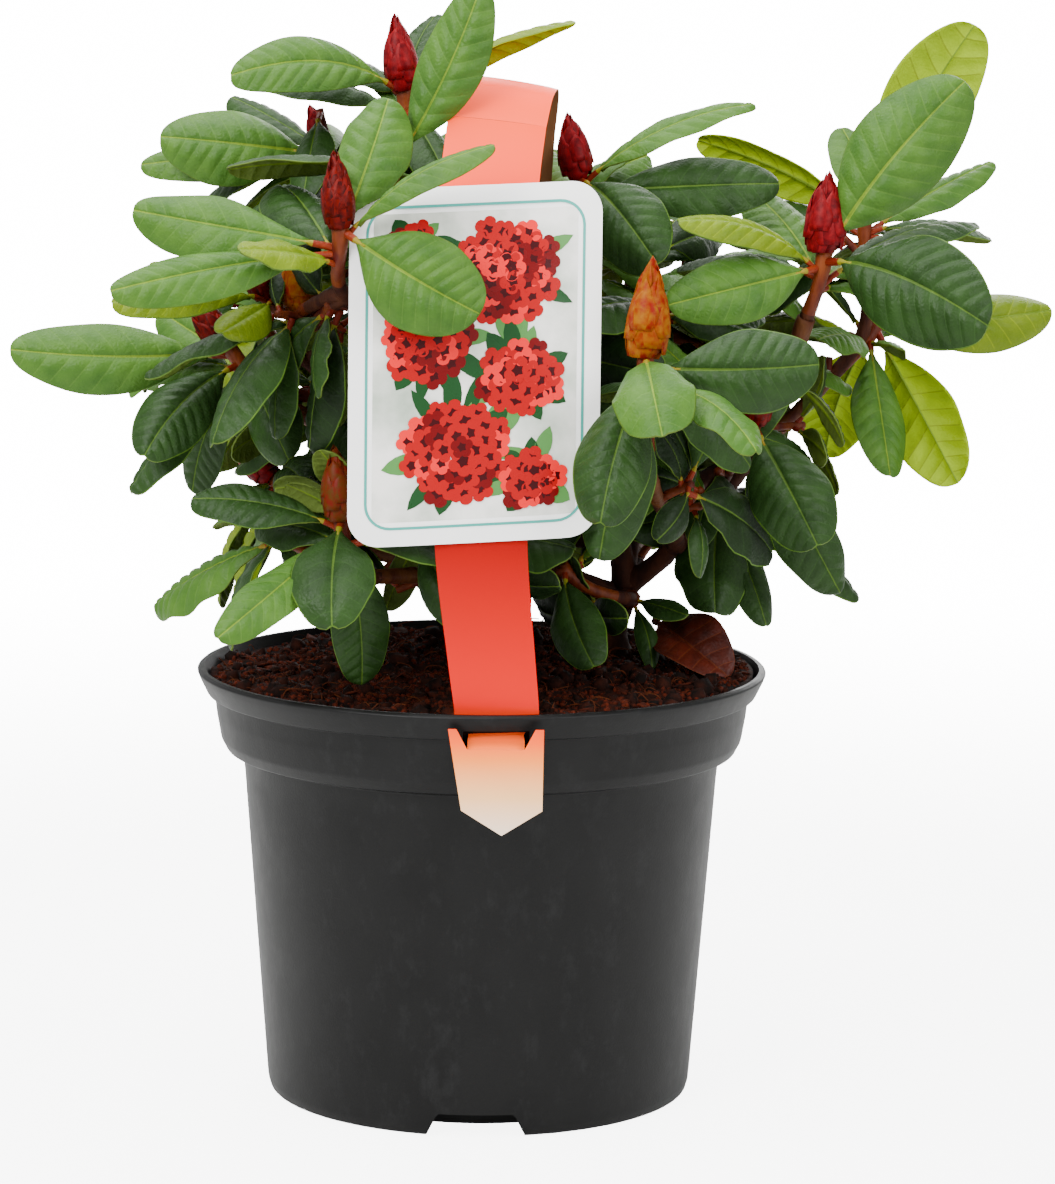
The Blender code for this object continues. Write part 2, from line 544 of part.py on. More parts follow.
def make_strap(parts, cutters, material):
    back_x = STRAP_BACK[-1][0]
    turned_tail = tuple((back_x, -y, z, width, 0, 0) for _, y, z, width, _, _ in reversed(STRAP_TAIL))
    front = band("label_strap_front", STRAP_TAIL + STRAP_FRONT, material, parts, end_gap=GAP / 2)
    boolean(front, tail_plate("tail_front", STRAP_TAIL[0][0], -1, cutters), "UNION")
    apply_modifiers(front)
    crest = band("label_strap_crest", STRAP_CREST, material, parts, GAP / 2, GAP / 2)
    back = band("label_strap_back", STRAP_BACK + turned_tail, material, parts, start_gap=GAP / 2)
    boolean(back, tail_plate("tail_back", back_x, 1, cutters), "UNION")
    apply_modifiers(back)
    for obj in list(cutters.objects):
        drop(obj)
    return front, crest, back


def strap_place(z):
    # The strap's depth and yaw at a height on its front length.
    for low, high in zip(STRAP_FRONT, STRAP_FRONT[1:]):
        if low[2] <= z <= high[2]:
            t = (z - low[2]) / (high[2] - low[2])
            return low[1] + t * (high[1] - low[1]), low[4] + t * (high[4] - low[4])
    return STRAP_FRONT[-1][1], STRAP_FRONT[-1][4]


def make_card(parts, material):
    half, tall, corner = CARD["width"] / 2, CARD["height"] / 2, CARD["corner"]
    arc = [corner * (1 - math.cos(math.radians(angle))) for angle in (0, 30, 60, 90)]
    columns = [-half + a for a in arc] + [-CARD["flat"], 0, CARD["flat"]] + [half - a for a in reversed(arc)]
    tilt = math.tan(math.radians(CARD["rise"]))
    rings = []
    for side in columns:
        near = max(0.0, abs(side) - (half - corner))
        edge = tall - corner + math.sqrt(max(0.0, corner**2 - near**2))
        front, back = [], []
        level = CARD["middle"][1] + side * tilt
        for z in (level - edge, *CARD["bends"], level + edge):
            y, yaw = strap_place(z)
            bow = max(0.0, abs(side) - CARD["flat"]) ** 2 / (2 * CARD["bow_radius"])
            y += bow + math.tan(math.radians(yaw)) * side - STRAP_THICK / 2 - CARD["thick"] - 2 * GAP
            x = CARD["middle"][0] + side * math.cos(math.radians(yaw))
            front.append(mm(x, y - CARD["thick"] / 2, z))
            back.append(mm(x, y + CARD["thick"] / 2, z))
        rings.append(front + back[::-1])
    return add_object("label_card", loft("label_card", rings), material, parts)


# --- Trunk, boughs, foliage


def make_limbs(parts, cutters, material):
    # The trunk, then each bough, cut clear of the limb that it springs from.
    base = Vector((TRUNK_FOOT[0], TRUNK_FOOT[1], SOIL_TOP + GAP))
    paths = {"trunk": ([base + Vector(p) for p in TRUNK_PATH], TRUNK_RADII)}
    limbs = {"trunk": tube("trunk", *paths["trunk"], parts, material, sides=8)}
    for name, (parent, thick, thin, points) in BOUGHS.items():
        path = smooth_path(points)
        radii = [thick + (thin - thick) * i / (len(path) - 1) for i in range(len(path))]
        paths[name] = (path, radii)
        bough = tube(name, path, radii, parts, material)
        for other in limbs:
            if other != parent and BOUGHS.get(other, ("",))[0] != parent:
                continue
            around, sizes = paths[other]
            cutter = tube("cutter", around, [size + GAP for size in sizes], cutters, sides=8)
            if surface_tree(cutter).overlap(surface_tree(bough)):
                boolean(bough, cutter, "DIFFERENCE")
                apply_modifiers(bough)
                keep_main_body(bough.data)
            drop(cutter)
        limbs[name] = bough
    return limbs, paths


def leaf_mesh(leaf, grow=0.0):
    # A petiole that opens into a blade: lens-shaped sections along an arched midrib, and a tip.
    along = leaf.tip - leaf.root
    length = along.length
    ahead = along / length
    side = ahead.cross(leaf.upper).normalized()
    up = side.cross(ahead)
    rings = []
    for share, spread in LEAF_STATIONS:
        middle = leaf.root + along * share + up * leaf.arch * length * 4 * share * (1 - share)
        half = max(PETIOLE_WIDE, spread * leaf.width) / 2
        sag = up * LEAF_DROOP * max(0, 2 * half - PETIOLE_WIDE)
        across, ridge = side * (half + grow), up * (LEAF_THICK / 2 + grow)
        edge = sag + ridge
        rings.append([(middle + p) * MM for p in (-across - edge, ridge, across - edge)])
    return loft("leaf", rings, tip=(leaf.tip + ahead * grow) * MM)


def leaf_tree(leaf, grow, first=0):
    # The surface of a leaf, for overlap tests. first leaves out its petiole's sections.
    mesh = leaf_mesh(leaf, grow)
    points = [v.co.copy() for v in mesh.vertices]
    faces = [tuple(p.vertices) for p in mesh.polygons if min(p.vertices) >= 3 * first]
    bpy.data.meshes.remove(mesh)
    return BVHTree.FromPolygons(points, faces)


def down_path(path, distance):
    # The point of a path that lies this far before its end.
    for a, b in zip(path[::-1], path[-2::-1]):
        span = (a - b).length
        if distance <= span:
            break
        distance -= span
    return a + (b - a) * min(1.0, distance / span)


def make_leaf(shoot, stem, turn, rise, length, width, arch, facing, rank):
    axis = heading(shoot["lean"][0], 90 - shoot["lean"][1])
    tip = Vector(shoot["at"]) + heading(turn, rise) * length
    root = down_path(stem, 1.5 + WHORL_DEPTH * rank)
    outward = tip - root
    root = root + (outward - axis * outward.dot(axis)).normalized() * ROOT_OFFSET
    ahead = (tip - root).normalized()
    upper = axis - ahead * axis.dot(ahead)
    upper.normalize()
    front = Vector((0, -1, 0))
    front -= ahead * front.dot(ahead)
    upper = upper * (1 - abs(facing)) + front * facing
    return Leaf(root, tip, upper.normalized(), width, arch)


def clear_of(leaf, own, others, obstacles):
    whole = leaf_tree(leaf, GAP * 1.5)
    blade = leaf_tree(leaf, GAP, first=1)
    middle, reach = (leaf.root + leaf.tip) / 2, (leaf.tip - leaf.root).length / 2
    for tree in obstacles:
        if whole.overlap(tree):
            return False
    for found, candidates, part in ((own, 2, blade), (others, 0, whole)):
        for other, trees in found:
            apart = ((other.root + other.tip) / 2 - middle).length
            if apart < reach + (other.tip - other.root).length / 2 + 8 and part.overlap(trees[candidates]):
                return False
    return True


def free_turns(shoot, leaves):
    # Directions round the shoot in the middle of the gaps between its leaves, widest gap first.
    axis = heading(shoot["lean"][0], 90 - shoot["lean"][1])
    ahead = axis.orthogonal().normalized()
    beside = axis.cross(ahead)
    ways = [leaf.tip - leaf.root for leaf in leaves]
    used = sorted(math.atan2(way.dot(beside), way.dot(ahead)) for way in ways)
    if not used:
        return [(0.0, math.tau)], axis, ahead, beside
    gaps = [(a, (b - a) % math.tau or math.tau) for a, b in zip(used, used[1:] + used[:1])]
    return sorted(gaps, key=lambda gap: -gap[1]), axis, ahead, beside


def grow_fill(shoot, leaves, rank, rng):
    # One leaf in a wide gap of the whorl, as (turn, rise, length, width, arch, facing).
    gaps, axis, ahead, beside = free_turns(shoot, leaves)
    start, width = gaps[min(rng.randrange(3), len(gaps) - 1)]
    around = start + width * rng.uniform(0.38, 0.62)
    up = math.radians(rng.uniform(*FILL_RISE) - 14 * rank)
    out = (ahead * math.cos(around) + beside * math.sin(around)) * math.cos(up) + axis * math.sin(up)
    turn = math.degrees(math.atan2(out.y, out.x))
    rise = math.degrees(math.asin(max(-1, min(1, out.z))))
    length = rng.uniform(*FILL_LENGTH)
    width = length * rng.uniform(*FILL_SHAPE)
    return turn, rise, length, width, rng.uniform(0.04, 0.14), rng.uniform(0, 0.15)


def inside_crown(point):
    middle, reach = CROWN["middle"], CROWN["reach"]
    return point.z > CROWN["lowest"] and sum(((point[i] - middle[i]) / reach[i]) ** 2 for i in range(3)) < 1


def before_card(point):
    across, up = point.x - CARD["middle"][0], point.z - CARD["middle"][1]
    wide, high = CARD["width"] / 2 + 8, CARD["height"] / 2 + 8
    return point.y < STRAP_FRONT[-2][1] and abs(across) < wide and abs(up) < high


def grow_leaves(obstacles, stems):
    # Every mass's leaves: first those set by hand, nudged clear, then those that fill the whorls.
    grown, missed = [], []

    def try_leaf(mass, shoot, leaf):
        own = [entry[2:] for entry in grown if entry[0] == mass]
        others = [entry[2:] for entry in grown if entry[0] != mass]
        blocked = obstacles["all"] + [tree for name, tree in obstacles["mass"] if name != mass]
        if not clear_of(leaf, own, others, blocked):
            return False
        grown.append((mass, id(shoot), leaf, (leaf_tree(leaf, 0), None, leaf_tree(leaf, 0, first=1))))
        return True

    for mass, (_, shoots) in FOLIAGE.items():
        for index, shoot in enumerate(shoots):
            leaf_at = partial(make_leaf, shoot, stems[mass][index])
            for number, (turn, rise, *shape) in enumerate(shoot["leaves"]):
                rank = number / 7
                tries = (leaf_at(turn + a, rise + b, *shape, rank) for a, b in NUDGES)
                if not any(try_leaf(mass, shoot, leaf) for leaf in tries):
                    missed.append((mass, shoot["at"], turn, rise))
    for mass, (_, shoots) in FOLIAGE.items():
        for index, shoot in enumerate(shoots):
            for number in range(shoot["fill"]):
                rng = random.Random(f"{SEED} {mass} {index} {number}")
                rank = min(1.0, (len(shoot["leaves"]) + number) / 9)
                for attempt in range(FILL_TRIES):
                    mine = [entry[2] for entry in grown if entry[1] == id(shoot)]
                    turn, rise, length, *shape = grow_fill(shoot, mine, rank, rng)
                    length *= 1 - 0.03 * attempt
                    leaf = make_leaf(shoot, stems[mass][index], turn, rise, length, *shape, rank)
                    if inside_crown(leaf.tip) and not before_card(leaf.tip) and try_leaf(mass, shoot, leaf):
                        break
                else:
                    missed.append((mass, shoot["at"], "fill", number))
    return grown, missed


def bud_swell(length, width):
    # A pointed bud: (distance up the shoot, radius).
    half = width / 2
    return [(-1.5, half * 0.45), (length * 0.28, half), (length * 0.62, half * 0.72), (length, half * 0.08)]


def twig_paths(mass, limb_path):
    # Shoots branch from the stem that goes on from the bough's tip: twigs and buds as (path, radii, sides),
    # and each shoot's middle line.
    _, shoots = FOLIAGE[mass]
    ahead = (limb_path[-1] - limb_path[-2]).normalized()
    start = limb_path[-1] + ahead * GAP
    leader = None
    twigs, stems = [], []
    for shoot in shoots:
        axis = heading(shoot["lean"][0], 90 - shoot["lean"][1])
        at = Vector(shoot["at"])
        origin, onward = start, ahead
        if leader:
            origin, onward = leader[1], (leader[2] - leader[0]).normalized()
        pull = (at - origin).length * 0.45
        a, b, c, d = origin, origin + onward * pull, at - axis * pull, at
        steps = 3
        path = [a * (1 - t) ** 3 + 3 * b * t * (1 - t) ** 2 + 3 * c * t**2 * (1 - t) + d * t**3
                for t in (i / steps for i in range(steps + 1))]
        path.insert(1, origin + onward * min(1.5, pull * 0.2))
        twigs.append((path, [TWIG_RADIUS if leader is None else BRANCH_RADIUS] * len(path), TWIG_SIDES))
        leader = leader or path
        stems.append(path)
        if shoot["bud"]:
            swell = bud_swell(*shoot["bud"])
            twigs.append(([at + axis * along for along, _ in swell], [radius for _, radius in swell], 6))
    return twigs, stems


def build_foliage(parts, cutters, limbs, paths, fixed, material):
    wood = {mass: twig_paths(mass, paths[bough][0]) for mass, (bough, _) in FOLIAGE.items()}
    twigs = {mass: pair[0] for mass, pair in wood.items()}
    stems = {mass: pair[1] for mass, pair in wood.items()}
    trees = [surface_tree(obj) for obj in [*limbs.values(), *fixed]]
    by_mass = []
    for mass, limb_twigs in twigs.items():
        for path, radii, sides in limb_twigs:
            twig = tube("twig", path, [radius + GAP for radius in radii], cutters, sides=sides)
            by_mass.append((mass, surface_tree(twig)))
            drop(twig)
    grown, missed = grow_leaves({"all": trees, "mass": by_mass}, stems)
    for mass, limb_twigs in twigs.items():
        first, *rest = [tube(mass, path, radii, parts if i == 0 else cutters, material, sides)
                        for i, (path, radii, sides) in enumerate(limb_twigs)]
        for entry in grown:
            if entry[0] == mass:
                rest.append(add_object("leaf", leaf_mesh(entry[2]), material, cutters))
        boolean(first, cutters, "UNION", "MANIFOLD")
        apply_modifiers(first)
        keep_main_body(first.data)
        for obj in rest:
            drop(obj)
    return grown, missed


def main():
    for obj in list(bpy.data.objects):
        bpy.data.objects.remove(obj)
    parts = bpy.data.collections.new("Potted dwarf rhododendron")
    cutters = bpy.data.collections.new("Cutters")
    for collection in (parts, cutters):
        bpy.context.scene.collection.children.link(collection)
    materials = {name: make_material(name, colour, 0.5) for name, colour in COLOURS.items()}

    pot = make_pot(parts, cutters, materials["pot"])
    soil = make_soil(parts, materials["soil"])
    strap = make_strap(parts, cutters, materials["strap"])
    card = make_card(parts, materials["card"])
    fallen = make_fallen_leaf(soil, parts, materials["dead leaf"])
    limbs, paths = make_limbs(parts, cutters, materials["bark"])
    fixed = [pot, soil, card, fallen, *strap]
    grown, missed = build_foliage(parts, cutters, limbs, paths, fixed, materials["leaf"])
    for obj in [pot, soil, *limbs.values()]:
        shade_round(obj)
    print(len(grown), "leaves, left out:", len(missed))


main()
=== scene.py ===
# Potted dwarf rhododendron in winter bud, for Blender 4.5.
# Tables are in millimetres and degrees, meshes in metres. +Z is up and the label faces -Y.
import math
import random
from collections import namedtuple

import bmesh
import bpy
import numpy as np
from mathutils import Matrix, Vector, noise
from mathutils.bvhtree import BVHTree


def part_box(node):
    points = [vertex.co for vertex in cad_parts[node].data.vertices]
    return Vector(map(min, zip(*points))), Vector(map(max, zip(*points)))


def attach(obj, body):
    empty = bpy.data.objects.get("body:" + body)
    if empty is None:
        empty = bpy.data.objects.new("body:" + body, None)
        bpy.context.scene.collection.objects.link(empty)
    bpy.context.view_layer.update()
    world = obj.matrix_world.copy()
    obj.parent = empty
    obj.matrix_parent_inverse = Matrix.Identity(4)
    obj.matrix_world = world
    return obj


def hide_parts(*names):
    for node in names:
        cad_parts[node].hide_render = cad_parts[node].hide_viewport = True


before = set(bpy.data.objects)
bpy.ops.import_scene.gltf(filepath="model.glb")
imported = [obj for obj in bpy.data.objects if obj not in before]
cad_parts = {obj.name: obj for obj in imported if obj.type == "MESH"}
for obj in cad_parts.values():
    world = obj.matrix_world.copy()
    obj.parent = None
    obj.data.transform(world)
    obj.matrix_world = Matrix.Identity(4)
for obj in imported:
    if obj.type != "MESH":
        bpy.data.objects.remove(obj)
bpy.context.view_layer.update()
millimetre = 0.001
print("frame loaded:", len(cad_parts), "nodes")


# helpers

def mm(x, y, z):
    return Vector((x, y, z)) * millimetre


def heading(turn, rise):
    turn, rise = math.radians(turn), math.radians(rise)
    return Vector((math.cos(rise) * math.cos(turn), math.cos(rise) * math.sin(turn), math.sin(rise)))


def hexColour(code):
    parts = [int(code[i:i + 2], 16) / 255 for i in (1, 3, 5)]
    linear = [c / 12.92 if c <= 0.04045 else ((c + 0.055) / 1.055) ** 2.4 for c in parts]
    return (*linear, 1.0)


def addNode(tree, kind, settings=None, links=None):
    # Capitalised keys and numbers are input sockets, the rest are the node's own settings.
    node = tree.nodes.new(kind)
    for key, value in (settings or {}).items():
        if isinstance(key, int) or key[0].isupper():
            node.inputs[key].default_value = value
        else:
            setattr(node, key, value)
    for key, socket in (links or {}).items():
        tree.links.new(socket, node.inputs[key])
    return node


def startMaterial(name, colour, roughness, more=None):
    material = bpy.data.materials.new(name)
    material.use_nodes = True
    tree = material.node_tree
    shader = tree.nodes["Principled BSDF"]
    shader.inputs["Base Color"].default_value = hexColour(colour)
    shader.inputs["Roughness"].default_value = roughness
    for key, value in (more or {}).items():
        shader.inputs[key].default_value = value
    return material, tree, shader


def addBump(tree, shader, height, strength, distance):
    bump = addNode(tree, "ShaderNodeBump", {"Strength": strength, "Distance": distance}, {"Height": height})
    tree.links.new(bump.outputs["Normal"], shader.inputs["Normal"])


def mixByNoise(tree, shader, first, second, grain, detail=3.0, low=0.35, high=0.65, stretch=(1, 1, 1)):
    # Two close colours clouded into each other. grain is the size of a cloud in millimetres.
    place = addNode(tree, "ShaderNodeTexCoord")
    scaled = addNode(tree, "ShaderNodeMapping", {"Scale": stretch}, {"Vector": place.outputs["Object"]})
    cloud = addNode(tree, "ShaderNodeTexNoise", {"Scale": 1000 / grain, "Detail": detail},
                    {"Vector": scaled.outputs["Vector"]})
    spread = addNode(tree, "ShaderNodeMapRange", {"From Min": low, "From Max": high},
                     {"Value": cloud.outputs["Fac"]})
    mix = addNode(tree, "ShaderNodeMix", {"data_type": "RGBA", 6: hexColour(first), 7: hexColour(second)},
                  {0: spread.outputs["Result"]})
    tree.links.new(mix.outputs[2], shader.inputs["Base Color"])
    return scaled.outputs["Vector"], cloud.outputs["Fac"], mix.outputs[2]


def objectNoise(tree, scale, detail):
    place = addNode(tree, "ShaderNodeTexCoord")
    return addNode(tree, "ShaderNodeTexNoise", {"Scale": scale, "Detail": detail},
                   {"Vector": place.outputs["Object"]}).outputs["Fac"]


def newNodeGroup(name, sockets):
    # A geometry node group with named inputs, and those inputs as sockets to link from.
    tree = bpy.data.node_groups.new(name, "GeometryNodeTree")
    for label, kind in sockets:
        tree.interface.new_socket(label, in_out="INPUT", socket_type="NodeSocket" + kind)
    tree.interface.new_socket("Geometry", in_out="OUTPUT", socket_type="NodeSocketGeometry")
    return tree, addNode(tree, "NodeGroupInput").outputs


def setInputs(modifier, values):
    # A modifier's input goes by its socket's identifier.
    for item in modifier.node_group.interface.items_tree:
        if item.item_type == "SOCKET" and item.in_out == "INPUT" and item.name in values:
            modifier[item.identifier] = values[item.name]


def newObject(name, mesh, materials=()):
    obj = bpy.data.objects.new(name, mesh)
    bpy.context.scene.collection.objects.link(obj)
    if materials:
        mesh.materials.clear()
        for material in materials:
            mesh.materials.append(material)
    return obj


def meshFromBm(name, bm, turnOut=True):
    if turnOut:
        bmesh.ops.recalc_face_normals(bm, faces=bm.faces)
    mesh = bpy.data.meshes.new(name)
    bm.to_mesh(mesh)
    bm.free()
    return mesh


def bakeModifiers(obj):
    graph = bpy.context.evaluated_depsgraph_get()
    mesh = bpy.data.meshes.new_from_object(obj.evaluated_get(graph))
    obj.modifiers.clear()
    obj.data = mesh
    return mesh


def creaseAt(mesh, angle):
    mesh.shade_smooth()
    mesh.set_sharp_from_angle(angle=math.radians(angle))


class Sheaf:
    # Gathers many small shells into one mesh: points in millimetres, faces with a slot each.

    def __init__(self):
        self.points, self.faces, self.slots, self.count = [], [], [], 0

    def add(self, points, faces, slots):
        points = np.asarray(points, dtype=np.float64).reshape(-1, 3)
        self.points.append(points)
        start = self.count
        self.faces += [tuple(corner + start for corner in face) for face in faces]
        self.slots += [slots] * len(faces) if isinstance(slots, int) else list(slots)
        self.count += len(points)

    def addMesh(self, mesh, matrix, slotShift=0):
        place = np.array(matrix)
        points = np.empty(len(mesh.vertices) * 3)
        mesh.vertices.foreach_get("co", points)
        points = points.reshape(-1, 3) @ place[:3, :3].T + place[:3, 3]
        self.add(points, [tuple(p.vertices) for p in mesh.polygons],
                 [p.material_index + slotShift for p in mesh.polygons])

    def build(self, name, materials):
        mesh = bpy.data.meshes.new(name)
        mesh.from_pydata((np.concatenate(self.points) * millimetre).tolist(), [], self.faces)
        obj = newObject(name, mesh, materials)
        mesh.polygons.foreach_set("material_index", self.slots)
        mesh.shade_smooth()
        mesh.update()
        return obj


def skinObject(name, points, faces, materials=()):
    sheaf = Sheaf()
    sheaf.add(points, faces, 0)
    return sheaf.build(name, materials)


def treeOf(points, faces):
    return BVHTree.FromPolygons([p * millimetre for p in points], faces)


def keep(obj, slot, *nodes):
    # A finished piece rides on the one body and stands for its nodes.
    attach(obj, "root")
    if nodes:
        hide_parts(*nodes)


def smoothPath(points, perSpan):
    # A Catmull-Rom curve through rows of numbers.
    rows = [np.array(p, dtype=float) for p in points]
    rows = [2 * rows[0] - rows[1]] + rows + [2 * rows[-1] - rows[-2]]
    path = []
    for a, b, c, d in zip(rows, rows[1:], rows[2:], rows[3:]):
        for step in range(perSpan):
            t = step / perSpan
            path.append(0.5 * (2 * b + (c - a) * t + (2 * a - 5 * b + 4 * c - d) * t**2
                               + (3 * b - a - 3 * c + d) * t**3))
    return path + [rows[-2]]


def bezier(a, b, c, d, steps):
    return [a * (1 - t) ** 3 + 3 * b * t * (1 - t) ** 2 + 3 * c * t**2 * (1 - t) + d * t**3
            for t in (i / steps for i in range(steps + 1))]


def ringPairs(rings, around, start=0):
    # Each point of a stack of rings with the next one round, for all rings but the last.
    for i in range(rings - 1):
        for j in range(around):
            yield start + i * around + j, start + i * around + (j + 1) % around


def plateFaces(rows, columns, down, across):
    # Both sides and the rim of a thin plate, whose points are two grids, one after the other.
    # down and across are the steps from a point to its neighbours.
    far = (rows + 1) * (columns + 1)
    faces = []
    for a in sorted(i * down + j * across for i in range(rows) for j in range(columns)):
        faces += [(a, a + across, a + across + down, a + down),
                  (far + a, far + a + down, far + a + across + down, far + a + across)]
    rim = [j * across for j in range(columns)] + [columns * across + i * down for i in range(rows)]
    rim += [rows * down + j * across for j in range(columns, 0, -1)] + [i * down for i in range(rows, 0, -1)]
    return faces + [(a, far + a, far + b, b) for a, b in zip(rim, rim[1:] + rim[:1])]


def sweepTube(path, radii, sides, relief=None):
    # A closed skin round a path. relief(distance, angle) adds to the radius.
    path = [Vector(p) for p in path]
    side = (path[1] - path[0]).normalized().orthogonal()
    points, distance = [], 0.0
    for i, place in enumerate(path):
        onward = (path[min(i + 1, len(path) - 1)] - path[max(i - 1, 0)]).normalized()
        side = (side - onward * side.dot(onward)).normalized()
        up = onward.cross(side)
        distance += (place - path[max(i - 1, 0)]).length
        for j in range(sides):
            angle = math.tau * j / sides
            radius = radii[i] + (relief(distance, angle) if relief else 0.0)
            points.append(place + (side * math.cos(angle) + up * math.sin(angle)) * radius)
    faces = [(a, b, b + sides, a + sides) for a, b in ringPairs(len(path), sides)]
    points += [path[0], path[-1]]
    last = (len(path) - 1) * sides
    for j in range(sides):
        k = (j + 1) % sides
        faces += [(len(points) - 2, k, j), (len(points) - 1, last + j, last + k)]
    return points, faces


def turnProfile(name, profile, steps):
    # Screw turns a closed profile of (radius, height) round the Z axis.
    bm = bmesh.new()
    verts = [bm.verts.new(mm(radius, 0, height)) for radius, height in profile]
    for a, b in zip(verts, verts[1:]):
        bm.edges.new((a, b))
    bm.edges.new((verts[-1], verts[0]))
    obj = newObject(name, meshFromBm(name, bm, turnOut=False))
    screw = obj.modifiers.new("Turn", "SCREW")
    screw.steps = screw.render_steps = steps
    screw.use_merge_vertices = True
    screw.merge_threshold = 1e-5
    return obj


def roundCorners(profile, radius, pieces=4):
    # Swaps each corner of an open profile for a small curve.
    points = [Vector((*p, 0)) for p in profile]
    soft = [profile[0]]
    for a, b, c in zip(points, points[1:], points[2:]):
        reach = min(radius, (a - b).length * 0.45, (c - b).length * 0.45)
        start, end = b + (a - b).normalized() * reach, b + (c - b).normalized() * reach
        for i in range(pieces + 1):
            t = i / pieces
            spot = start * (1 - t) ** 2 + 2 * b * t * (1 - t) + end * t**2
            soft.append((spot.x, spot.y))
    return soft + [profile[-1]]


# pot

potShape = {"height": 143.0, "lipRadius": 95.0, "lipDepth": 8.5, "lipFlare": 3.5, "collarRadius": 89.0,
            "collarDepth": 20.0, "bodyTop": 79.7, "foot": 71.0, "wall": 1.3, "channelInner": 55.0,
            "channelOuter": 67.5, "channelHeight": 7.0, "steps": 144, "soften": 0.7,
            "notchWidth": 33.0, "notchTop": 26.0, "notchHeight": 7.5, "notchTurns": (-90, 30, 150),
            "slotWidth": 21.0, "slotHeight": 6.0, "slotRise": 0.3, "slotTurns": ((-90, 5.6), (90, -3.0)),
            "drainHoles": 6, "drainRadius": 4.0, "drainDepth": 12.0, "crease": 28}


def blackPolypropylene():
    # Injection-moulded recycled PP: near-black, a soft satin from the tool's fine texture, with peat
    # dust and pale rub marks that run down it.
    material, tree, shader = startMaterial("moulded black polypropylene", "#08090a", 0.42,
                                           {"IOR": 1.49, "Specular IOR Level": 0.2})
    scaled, _, mixed = mixByNoise(tree, shader, "#020202", "#090909", 22, 5, 0.34, 0.66, (1, 1, 0.6))
    dust = addNode(tree, "ShaderNodeTexNoise", {"Scale": 120.0, "Detail": 8.0, "Roughness": 0.75},
                   {"Vector": scaled}).outputs["Fac"]
    streak = addNode(tree, "ShaderNodeMapRange", {"From Min": 0.52, "From Max": 0.86, "To Max": 0.2},
                     {"Value": dust})
    dusty = addNode(tree, "ShaderNodeMix", {"data_type": "RGBA", 7: hexColour("#3c3d3e")},
                    {0: streak.outputs["Result"], 6: mixed})
    tree.links.new(dusty.outputs[2], shader.inputs["Base Color"])
    rough = addNode(tree, "ShaderNodeMapRange", {"To Min": 0.34, "To Max": 0.58}, {"Value": dust})
    tree.links.new(rough.outputs["Result"], shader.inputs["Roughness"])
    addBump(tree, shader, objectNoise(tree, 1600.0, 2.0), 0.12, 0.0004)
    return material


def potProfile():
    # From the lip's top edge down the outside, under the foot, and back up the inside.
    shape = potShape
    lip, top, collar, body = shape["lipRadius"], shape["height"], shape["collarRadius"], shape["bodyTop"]
    foot, wall, lipBase = shape["foot"], shape["wall"], lip - shape["lipFlare"]
    ledge = top - shape["lipDepth"]
    base = ledge - shape["collarDepth"]
    inner, outer, up = shape["channelInner"], shape["channelOuter"], shape["channelHeight"]
    outside = [
        (lip - 1.1, top), (lip, top - 0.9), (lip - 0.9, top - 3.2), (lipBase, ledge),
        (collar + 0.2, ledge - 0.3),
        (collar - 0.6, ledge - 7), (collar - 2, base + 5), (collar - 4, base + 1.2), (body, base),
        (body - 0.8, base - 8), (foot + 0.35, 6.0), (foot + 0.1, 3.0), (foot - 0.8, 0),
        (outer + 0.6, 0), (outer, up), (inner + 1, up), (inner, 0), (inner - 8, 0),
    ]
    inside = [
        (inner - 8, wall), (inner - 1, wall), (inner, up + wall), (outer + 1.4, up + wall),
        (body - wall, base + wall), (collar - 5.2, base + wall + 1), (collar - 3.3, base + 5.5),
        (collar - wall, ledge + wall), (lipBase - wall, ledge + wall + 0.6), (lip - 2.4, top),
    ]
    outside, inside = (roundCorners(side, shape["soften"]) for side in (outside, inside))
    return outside + [(0, 0), (0, wall)] + inside


def subtract(obj, name, mesh):
    block = newObject(name, mesh)
    cut = obj.modifiers.new(name, "BOOLEAN")
    cut.operation, cut.solver, cut.object = "DIFFERENCE", "EXACT", block
    return block


def cutAway(obj, name, corners, near, far, turn):
    # Takes a block out of the wall. corners are (across, up), pushed from radius near to far.
    out = heading(turn, 0)
    across = Vector((-out.y, out.x, 0))
    bm = bmesh.new()
    rings = [[bm.verts.new((across * a + out * radius + Vector((0, 0, up))) * millimetre) for a, up in corners]
             for radius in (near, far)]
    bm.faces.new(rings[0][::-1])
    bm.faces.new(rings[1])
    for i in range(len(corners)):
        j = (i + 1) % len(corners)
        bm.faces.new((rings[0][i], rings[0][j], rings[1][j], rings[1][i]))
    return subtract(obj, name, meshFromBm(name, bm))


